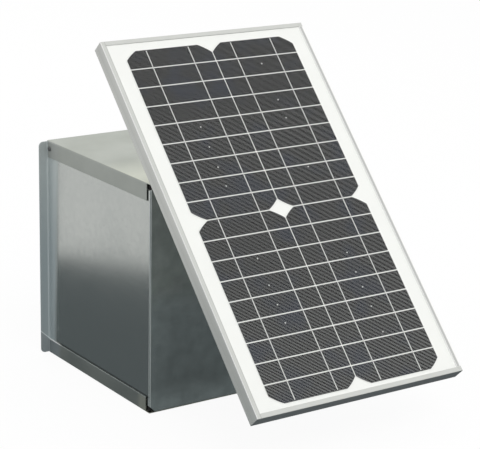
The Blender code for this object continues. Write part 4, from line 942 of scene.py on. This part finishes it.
def crossHead(head, height, shank, length):
    # Pan head with a cross recess, seated on z = 0, over a shank with a few thread rings.
    cut = {"rings": 6, "core": 0.84, "flank": 0.0005, "rim": 0.35, "arm": 0.27, "slot": 0.075, "deep": 0.45}
    half = shank / 2
    thread = []
    for k in range(cut["rings"]):
        z = -length * (k + 1) / (cut["rings"] + 1)
        thread += [(half, z + cut["flank"]), (half * cut["core"], z), (half, z - cut["flank"])]
    dome = [(head / 2 * sin(a), height * (cut["rim"] + (1 - cut["rim"]) * cos(a))) for a in arc(7, 15)]
    dome[0] = (0, height)
    screw = lathe("screw", dome + [(head / 2, 0), (half, 0)] + thread + [(half / 2, -length), (0, -length)], 32)
    arm, slot, deep = head * cut["arm"], head * cut["slot"], height * cut["deep"]
    cross = [boxes("arm", [((-x, -y, deep), (x, y, 2 * height))]) for x, y in ((arm, slot), (slot, arm))]
    return combined(screw, cross, "DIFFERENCE")


def hexPrism(name, across, height, bothEnds):
    # Hexagon with its corners turned off to a round chamfer.
    chamfer = {"flat": 0.97, "slope": 0.6, "under": 1.05, "over": 0.001}
    reach, flat = across / sqrt(3), across / 2 * chamfer["flat"]
    drop = (reach - flat) * chamfer["slope"]
    foot = [(0, 0), (flat, 0), (reach, drop)] if bothEnds else [(0, 0), (reach * chamfer["under"], 0)]
    turned = lathe("turned", foot + [(reach, height - drop), (flat, height), (0, height)], 48)
    hexagon = [(reach * cos(a), reach * sin(a)) for a in around(6)]
    prism = slabs(name, [hexagon], -chamfer["over"], height + chamfer["over"])
    return combined(prism, [turned], "INTERSECT")


axisHeight = 0.1483
# Each kind's head width and height, shank width and length, and the place of the right one.
screws = {"pan": (0.0062, 0.0020, 0.0030, 0.0080), "panAt": (lipFace + housing["fit"], 0.1230, 0.2864),
          "rail": (0.0080, 0.0026, 0.0040, 0.0071), "railAt": (0.1435, pivotAlong, -0.0036),
          "strap": (0.0050, 0.0022, 0.0026, 0.0076), "strapAt": (0.1441, 0.1112, axisHeight),
          "motor": (0.0080, 0.0035, 0.0040, 0.0076), "motorAt": (0.0260, 0.0591, axisHeight)}


def allScrews():
    s = screws
    fastenPair("panScrews", crossHead(*s["pan"]), s["panAt"], (1, 0, 0), agedZinc, "housing", "black_zinc",
               "top_pan_screw")
    fastenPair("railScrews", crossHead(*s["rail"]), panelSpace @ Vector(s["railAt"]), -panelOut, brightZinc, "panel",
               "zinc", "rail_screw")
    fastenPair("strapScrews", crossHead(*s["strap"]), s["strapAt"], (0, -1, 0), brightZinc, "housing", "zinc",
               "strap_screw")
    fastenPair("motorBolts", crossHead(*s["motor"]), s["motorAt"], (0, 1, 0), brightZinc, "housing", "zinc",
               "motor_bolt")


solderSpots()
allScrews()
print("screws set")


# Orifice, guard and motor strap

def atAxis(y):
    return Matrix.Translation((0, y, axisHeight)) @ facingBack


orifice = {"half": 0.1499, "low": 0.0013, "high": 0.2953, "back": 0.1158, "fold": 0.0150, "corner": 0.0025,
           "radius": 0.1290, "wall": 0.0012, "straight": 0.0050, "length": 0.0100, "flare": 0.0025,
           "mouth": 0.0024, "overlap": 0.0002, "edge": 0.0002}


def orificePanel():
    # A tray with folded edges, and a collar that rolls in from its back face.
    o, sheet = orifice, housing["sheet"]
    middle, rise = (o["low"] + o["high"]) / 2, (o["high"] - o["low"]) / 2

    def tray(inset, front, back):
        x, z = o["half"] - inset, rise - inset
        outline = filleted(rectangle(-x, -z, x, z), o["corner"] - inset)
        return slabs("orificePanel", [outline], front, back, Matrix.Translation((0, o["back"], middle)) @ facingBack)

    panelPiece = tray(0, -o["fold"], 0)
    r, mouth, wall = o["radius"], o["mouth"], o["radius"] + o["wall"]
    hole = roundBar(r + mouth - o["overlap"], 96, atAxis(o["back"]))
    combined(panelPiece, [tray(sheet, -o["fold"] - clear, -sheet), hole], "DIFFERENCE")
    roll = [(r + mouth - mouth * sin(a), -mouth + mouth * cos(a)) for a in arc(7, 15)]
    profile = roll + [(r, -o["straight"]), (r + o["flare"], -o["length"]), (wall + o["flare"], -o["length"]),
                      (wall, -o["straight"]), (wall, -mouth), (r + mouth, -sheet)]
    combined(panelPiece, [lathe("collar", profile, 96, True, atAxis(o["back"]))], "UNION")
    dress(softened(panelPiece, o["edge"]), galvanised, "housing", "galvanised", "orifice_panel")


guard = {"radius": 0.1370, "rings": 4, "wire": 0.0032, "plane": 0.1242, "weld": 0.0012, "spacers": 4,
         "spacerPlane": 0.1161, "spacerRadius": 0.0050, "spacerLength": 0.0062, "spacerEdge": 0.0005}


def guardTree():
    # Wire rings about z, and two crossed wires behind them.
    tree, add, given = newTree("wireGuard", {"Radius": "Float", "Rings": "Int", "Wire": "Float", "Weld": "Float"})
    index = add("InputIndex")
    rank = add("ADD", [index, 1.0])
    share = add("DIVIDE", [rank, given["Rings"]])
    size = add("MULTIPLY", [share, given["Radius"]])
    points = add("Points", {"Count": given["Rings"]})
    circle = add("CurvePrimitiveCircle", {"Resolution": 96, "Radius": 1.0})
    rings = add("InstanceOnPoints", {"Points": points, "Instance": circle, "Scale": size})
    wires = add("JoinGeometry", [rings])
    pair = add("Points", {"Count": 2})
    lift = add("CombineXYZ", {"Z": add("MULTIPLY", [rank, given["Weld"]])})
    moved = add("SetPosition", {"Geometry": pair, "Offset": lift})
    turn = add("CombineXYZ", {"Z": add("MULTIPLY_ADD", [index, pi / 2, pi / 4])})
    line = add("CurvePrimitiveLine", {"Start": (-1, 0, 0), "End": (1, 0, 0)})
    crossed = add("InstanceOnPoints", {"Points": moved, "Instance": line, "Rotation": turn,
                                       "Scale": given["Radius"]})
    feed(tree, wires, [crossed])
    real = add("RealizeInstances", [wires])
    half = add("MULTIPLY", [given["Wire"], 0.5])
    section = add("CurvePrimitiveCircle", {"Resolution": 12, "Radius": half})
    drawn = add("CurveToMesh", {"Curve": real, "Profile Curve": section, "Fill Caps": True})
    return endTree(tree, drawn, given["Finish"])


def exhaustGuard():
    g = guard
    wires = grown("exhaustGuard", guardTree(), {"Radius": g["radius"], "Rings": g["rings"], "Wire": g["wire"],
                                                "Weld": g["weld"], "Finish": blackZinc})
    wires.data.transform(atAxis(g["plane"]))
    dress(shaded(wires), blackZinc, "housing", "black_zinc", "exhaust_guard")
    spacer = softened(roundBar(g["spacerRadius"], 32, low=0, high=g["spacerLength"]), g["spacerEdge"])
    places = [((g["radius"] * cos(a), g["spacerPlane"], axisHeight + g["radius"] * sin(a)), (0, 1, 0))
              for a in around(g["spacers"], 0.5)]
    fasten("guardSpacers", spacer, places, brightZinc, "housing", "zinc",
           *[f"guard_standoff_{k + 1}" for k in range(g["spacers"])])


strap = {"reach": 0.1475, "leg": 0.1380, "foot": 0.1145, "back": 0.0588, "thickness": 0.0030, "width": 0.0300,
         "bend": 0.0045, "footBend": 0.0014, "bore": 0.0110, "edge": 0.0003}


def motorStrap():
    # Flat strap from side to side. Its feet stand on the orifice panel and its middle carries the motor.
    s = strap
    reach, leg, foot, back = s["reach"], s["leg"], s["foot"], s["back"]
    path = [(-reach, foot), (-leg, foot), (-leg, back), (leg, back), (leg, foot), (reach, foot)]
    rounds = [0, s["footBend"], s["bend"], s["bend"], s["footBend"], 0]
    low = axisHeight - s["width"] / 2
    bm = bentSheet([(x, y, low) for x, y in path], (0, 0, s["width"]), rounds)
    bar = thickened(bm, "motorStrap", s["thickness"], side=1)
    combined(bar, [roundBar(s["bore"], place=atAxis(back))], "DIFFERENCE")
    dress(softened(bar, s["edge"]), brightZinc, "housing", "zinc", "motor_strap")


orificePanel()
exhaustGuard()
motorStrap()
print("orifice, guard and strap made")


# Motor and fan

def ring(inner, outer, low, high, edge):
    # Profile of a turned ring with rounded edges.
    return filleted(rectangle(inner, low, outer, high), edge, 3)


motor = {"front": -0.0038, "back": 0.0512, "radius": 0.0420, "wall": 0.0015, "seat": 0.0113,
         "seatWall": 0.0138, "shoulder": -0.0013, "seatEnd": 0.0057, "rib": 0.0008, "ribFrom": 0.0070,
         "ribSlope": 0.0010, "ribFlat": 0.0020, "ventRadius": 0.0260, "vents": 8, "vent": 0.0036,
         "capBack": 0.0555, "capFront": 0.0515, "capFloor": 0.0529, "capSeat": 0.0456, "capBore": 0.0060,
         "rounds": [0, 0, 0.0004, 0.0004, 0.001, 0.0035, 0.0003, 0.0003, 0, 0, 0, 0, 0.0050, 0]}
# Each ring has its inner and outer radius, its front and back end along the axis, and the round of its edges.
turnedPieces = [
    ("frontBearing", ring(0.0043, 0.0110, -0.0010, 0.0057, 0.0005), groundSteel, "steel", "housing", "front_bearing"),
    ("rearBearing", ring(0.0043, 0.0110, 0.0456, 0.0523, 0.0005), groundSteel, "steel", "housing", "rear_bearing"),
    ("statorCore", ring(0.0220, 0.0402, 0.01315, 0.03815, 0.0004), core, "core", "housing", "stator_core"),
    ("rotorMagnet", ring(0.0043, 0.0210, 0.01315, 0.03815, 0.0006), core, "core", "fan", "rotor_magnet"),
]


def motorPieces():
    # The drawn can, closed by a cap at its back, and everything that is turned about the fan's axis.
    m = motor
    radius, front, back, seat, seatWall = m["radius"], m["front"], m["back"], m["seat"], m["seatWall"]
    bore, floor, waist, rib = radius - m["wall"], front + m["wall"], radius - m["rib"], back - m["ribFrom"]
    ribEnd = rib - m["ribSlope"] - m["ribFlat"]
    outline = [(0, m["shoulder"]), (seat, m["shoulder"]), (seat, m["seatEnd"]), (seatWall, m["seatEnd"]),
               (seatWall, floor), (bore, floor), (bore, back), (radius, back), (radius, rib),
               (waist, rib - m["ribSlope"]), (waist, ribEnd), (radius, ribEnd - m["ribSlope"]), (radius, front),
               (0, front)]
    can = lathe("motorCan", filleted(outline, m["rounds"], 6, closed=False), 96, place=atAxis(0))
    holes = []
    for a in around(m["vents"], 0.5):
        place = Matrix.Translation((m["ventRadius"] * cos(a), 0, m["ventRadius"] * sin(a))) @ atAxis(0)
        holes.append(roundBar(m["vent"], 24, place, front - clear, floor + m["wall"]))
    combined(can, holes, "DIFFERENCE")
    dress(shaded(can), motorEnamel, "housing", "motor_paint", "motor_can")
    cap = [(m["capBore"], m["capFloor"]), (seat, m["capFloor"]), (seat, m["capSeat"]), (seatWall, m["capSeat"]),
           (seatWall, m["capFront"]), (radius, m["capFront"]), (radius, m["capBack"]), (m["capBore"], m["capBack"])]
    for name, profile, finish, slot, body, node in [
            ("motorEndCap", cap, motorEnamel, "motor_paint", "housing", "motor_end_cap"), *turnedPieces]:
        dress(shaded(lathe(name, profile, 96, True, atAxis(0))), finish, body, slot, node)


fan = {"front": 0.0728, "hubRadius": 0.0350, "hubLength": 0.0260, "face": 0.0120, "recess": 0.0130, "bore": 0.0043,
       "wall": 0.0025, "ribs": 10, "ribHalf": 0.0009, "ribSunk": 0.0010, "ribShort": 0.0040,
       "rounds": [0.0003, 0.0006, 0.0008, 0.0008, 0.001, 0.001, 0.0008, 0.0008, 0.0040, 0.0003],
       "shaft": 0.0040, "shaftEdge": 0.0006, "shaftFrom": -0.0738, "shaftArris": 0.0003, "collar": 0.0070,
       "collarFrom": -0.0053, "nut": 0.0130, "nutHeight": 0.0060, "nutArris": 0.0002, "past": 0.0015, "fit": 0.0003}


def fanHub():
    # Moulded hub with stiffening ribs in its open back, on the shaft and under a nut.
    f = fan
    bore, face, length, wall, fit = f["bore"], f["face"], f["hubLength"], f["wall"], f["fit"]
    inner, outer = f["recess"], f["hubRadius"]
    outline = [(bore, face), (inner, face), (inner, length), (inner + wall, length), (inner + wall, face),
               (outer - wall, face), (outer - wall, length), (outer, length), (outer, 0), (bore, 0)]
    hub = lathe("fanHub", filleted(outline, f["rounds"]), 96, True)
    rib = ((inner + wall / 2, -f["ribHalf"], face - f["ribSunk"]),
           (outer - wall / 2, f["ribHalf"], length - f["ribShort"]))
    turns = [Matrix.Rotation(a, 4, "Z") for a in around(f["ribs"])]
    combined(hub, [boxes("ribs", [rib], turns=turns)], "UNION")
    hub.data.transform(atAxis(f["front"]))
    dress(shaded(hub), fanNylon, "fan", "fan_plastic", "fan_hub")
    shaft, collar, edge = f["shaft"], f["collar"], f["shaftEdge"]
    end = face + fit + f["nutHeight"] + f["past"]
    rod = [(0, end), (shaft - edge, end), (shaft, end - edge), (shaft, -fit), (collar, -fit),
           (collar, f["collarFrom"]), (shaft, f["collarFrom"]), (shaft, f["shaftFrom"]), (0, f["shaftFrom"])]
    turned = softened(lathe("motorShaft", rod, 64, place=atAxis(f["front"])), f["shaftArris"])
    dress(turned, groundSteel, "fan", "steel", "motor_shaft")
    nut = hexPrism("hubNut", f["nut"], f["nutHeight"], True)
    combined(nut, [roundBar(bore)], "DIFFERENCE")
    nut.data.transform(atAxis(f["front"] + face + fit))
    dress(softened(nut, f["nutArris"]), brightZinc, "fan", "zinc", "hub_nut")


blade = {"count": 5, "along": 22, "across": 16, "radius": (0.0356, 0.1250), "chord": (0.0380, 0.0780),
         "pitch": (radians(38), radians(20)), "camber": 0.0040, "thick": 0.0022, "rootThick": 1.1, "thinning": 0.5,
         "edgeThick": 0.02, "trimFrom": 0.86, "trim": 0.16}


def bladeShape():
    # One twisted, cambered blade: thick near its root, thin at the edges, with rounded tip corners. Its radius,
    # chord and pitch are given at the root and at the tip.
    b = blade
    along, across = b["along"], b["across"]
    bm = bmesh.new()

    def corner(face, i, j):
        t, c = i / along, j / across - 0.5
        radius, chord, pitch = [b[key][0] + (b[key][1] - b[key][0]) * t for key in ("radius", "chord", "pitch")]
        trim = max(0.0, (t - b["trimFrom"]) / (1 - b["trimFrom"]))
        chord *= 1 - b["trim"] * trim * trim
        bow = b["camber"] * (1 - 4 * c * c)
        thickness = b["thick"] * (b["rootThick"] - b["thinning"] * t) * sqrt(max(b["edgeThick"], 1 - (2 * c) ** 4))
        rise = bow + face * thickness / 2
        turn = (rise * sin(pitch) - chord * c * cos(pitch)) / radius
        height = fan["hubLength"] / 2 + chord * c * sin(pitch) + (rise - b["camber"] / 2) * cos(pitch)
        return bm.verts.new((radius * cos(turn), radius * sin(turn), height))

    sheets = [[[corner(face, i, j) for j in range(across + 1)] for i in range(along + 1)] for face in (-1, 1)]
    for rows in sheets:
        for i in range(along):
            for j in range(across):
                bm.faces.new((rows[i][j], rows[i + 1][j], rows[i + 1][j + 1], rows[i][j + 1]))
    rim = ([(0, j) for j in range(across)] + [(i, across) for i in range(along)]
           + [(along, j) for j in range(across, 0, -1)] + [(i, 0) for i in range(along, 0, -1)])
    bridge(bm, *[[rows[i][j] for i, j in rim] for rows in sheets])
    return pieceOf(bm, "blade")


def bladeTree():
    # The given blade, repeated round the axis.
    tree, add, given = newTree("bladeRing", {"Blade": "Object", "Count": "Int"})
    points = add("Points", {"Count": given["Count"]})
    share = add("DIVIDE", [add("InputIndex"), given["Count"]])
    turn = add("CombineXYZ", {"Z": add("MULTIPLY", [share, 2 * pi])})
    shape = add("ObjectInfo", {"Object": given["Blade"]}).outputs["Geometry"]
    put = add("InstanceOnPoints", {"Points": points, "Rotation": turn, "Instance": shape})
    return endTree(tree, put, given["Finish"])


def fanBlades():
    shape = bladeShape()
    blades = grown("fanBlades", bladeTree(), {"Blade": shape, "Count": blade["count"], "Finish": fanNylon})
    bpy.data.objects.remove(shape)
    blades.data.transform(atAxis(fan["front"]))
    dress(shaded(blades, 50), fanNylon, "fan", "fan_plastic", *[f"fan_blade_{k + 1}" for k in range(blade["count"])])


motorPieces()
fanHub()
fanBlades()
print("motor and fan made")


# Junction box and tilt mount

junction = {"half": 0.0400, "low": 0.41863, "high": 0.47863, "front": 0.0125, "back": -0.0032, "wall": 0.0020,
            "corner": 0.0050, "lid": 0.0020, "fit": 0.0003, "ribs": 5, "ribFrom": 0.012, "ribPitch": 0.009,
            "ribWidth": 0.0015, "ribInset": 0.010, "ribDeep": 0.0007, "clipInset": (0.004, 0.006),
            "clipHalf": (0.003, 0.004), "clipDeep": 0.0008, "edge": 0.0004, "lidEdge": 0.0003}


def junctionBox():
    # Moulded tray with a clipped lid. Grooves stiffen the lid.
    j = junction
    low, high, half, wall = j["low"], j["high"], j["half"], j["wall"]

    def shell(name, inset, back, front):
        outline = rectangle(inset - half, low + inset, half - inset, high - inset)
        return slabs(name, [filleted(outline, j["corner"] - inset)], back, front, panelSpace)

    tray = shell("junctionBox", 0, j["back"], j["front"])
    combined(tray, [shell("hollow", wall, j["back"] - clear, j["front"] - wall)], "DIFFERENCE")
    dress(softened(tray, j["edge"]), blackPlastic, "panel", "black_plastic", "junction_box")
    top = j["back"] - j["fit"]
    face = top - j["lid"]
    lid = shell("junctionLid", 0, face, top)
    side, starts = half - j["ribInset"], [low + j["ribFrom"] + k * j["ribPitch"] for k in range(j["ribs"])]
    grooves = [((-side, y, face - clear), (side, y + j["ribWidth"], face + j["ribDeep"])) for y in starts]
    inX, inY = j["clipInset"]
    wide, tall = j["clipHalf"]
    clips = [((x - wide, y - tall, face - clear), (x + wide, y + tall, face + j["clipDeep"]))
             for x in (inX - half, half - inX) for y in (low + inY, high - inY)]
    combined(lid, [boxes("grooves", grooves, panelSpace), boxes("clips", clips, panelSpace)], "DIFFERENCE")
    dress(softened(lid, j["lidEdge"]), blackPlastic, "panel", "black_plastic", "junction_box_lid")


gland = {"start": 0.41833, "out": 0.00465, "length": 0.0140, "radius": 0.0060, "waist": 0.0052, "nose": 0.0043,
         "bore": 0.0030, "arris": 0.0004, "bell": 0.0006, "flange": 0.0016, "taperFrom": 0.0082, "noseFrom": 0.0125,
         "grips": 12, "gripDeep": 0.0006, "gripFrom": 0.0018, "gripTo": 0.0080, "edge": 0.00015}


def cableGland():
    # Compression gland: a gripped nut that narrows to a nose round the bore.
    g = gland
    bore, radius, waist, nose, length = g["bore"], g["radius"], g["waist"], g["nose"], g["length"]
    grip = []
    for k, a in enumerate(around(4 * g["grips"])):
        r = radius - (g["gripDeep"] if k % 4 in (0, 1) else 0)
        grip.append((r * cos(a), r * sin(a)))
    place = panelSpace @ Matrix.Translation((0, g["start"], g["out"])) @ facingFront
    nut = slabs("cableGland", [grip], g["gripFrom"], g["gripTo"], place)
    body = [(bore, 0), (radius, 0), (radius, g["flange"]), (waist, g["gripFrom"]), (waist, g["taperFrom"]),
            (nose + g["arris"], g["noseFrom"]), (nose, length), (bore + g["arris"], length),
            (bore, length - g["bell"])]
    combined(nut, [roundBar(bore, place=place)], "DIFFERENCE")
    combined(nut, [lathe("body", body, 48, True, place)], "UNION")
    dress(softened(nut, g["edge"], 1), blackPlastic, "panel", "black_plastic", "cable_gland")


def refined(name, node, finish, body, slot):
    # The solid's own shape with its edges broken.
    bm = bmesh.new()
    bm.from_mesh(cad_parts[node].data)
    bmesh.ops.remove_doubles(bm, verts=bm.verts, dist=1e-6)
    bmesh.ops.dissolve_limit(bm, angle_limit=radians(2), verts=bm.verts, edges=bm.edges)
    dress(softened(pieceOf(bm, name), mount["edge"]), finish, body, slot, node)


mount = {"seam": 0.0700, "reach": 0.00345, "hex": 0.0100, "headHeight": 0.0040, "bolt": 0.0060, "bore": 0.0033,
         "tail": 0.0139, "tip": 0.8, "nutHeight": 0.0050, "plain": 0.0072, "threadFrom": 0.0076, "threads": 8,
         "threadPitch": 0.0008, "threadCore": 0.88, "sunk": 0.001, "edge": 0.0004}


def tiltMount():
    m = mount
    for word in ("Left", "Right"):
        refined("tiltLug" + word, "tilt_lug_" + word.lower(), brightZinc, "panel", "zinc")
        refined("hingeBracket" + word, "hinge_bracket_" + word.lower(), brightZinc, "housing", "zinc")
    refined("crossRail", "cross_rail", anodised, "panel", "anodised")
    half = m["bolt"] / 2
    shank = [(0, m["sunk"]), (half, m["sunk"]), (half, -m["plain"])]
    for k in range(m["threads"]):
        z = -m["threadFrom"] - k * m["threadPitch"]
        shank += [(half * m["threadCore"], z), (half, z - m["threadPitch"] / 2)]
    shank += [(half * m["tip"], -m["tail"]), (0, -m["tail"])]
    bolt = hexPrism("bolt", m["hex"], m["headHeight"], False)
    combined(bolt, [lathe("shank", shank, 32)], "UNION")
    fastenPair("pivotBolts", bolt, (m["seam"] + m["reach"], pivot.y, pivot.z), (1, 0, 0), brightZinc, "housing",
               "zinc", "pivot_bolt")
    nut = hexPrism("nut", m["hex"], m["nutHeight"], True)
    combined(nut, [roundBar(m["bore"], 32)], "DIFFERENCE")
    fastenPair("pivotNuts", nut, (m["seam"] - m["reach"], pivot.y, pivot.z), (-1, 0, 0), brightZinc, "housing",
               "zinc", "pivot_nut")


junctionBox()
cableGland()
tiltMount()
print("junction box and mount made")


plain = {"galvanised": galvanised, "zinc": brightZinc, "black_zinc": blackZinc, "anodised": anodised, "glass": glass,
         "silicon": silicon, "white_film": film, "black_plastic": blackPlastic, "rubber": rubber,
         "fan_plastic": fanNylon, "motor_paint": motorEnamel, "steel": groundSteel, "core": core}
# Solids that no piece replaces get the finish of their slot.
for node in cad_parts.values():
    for place in node.material_slots:
        slot = place.material.name.split(".")[0] if place.material else ""
        if slot in plain and not node.hide_render:
            place.material = plain[slot]

print("pieces dressed")
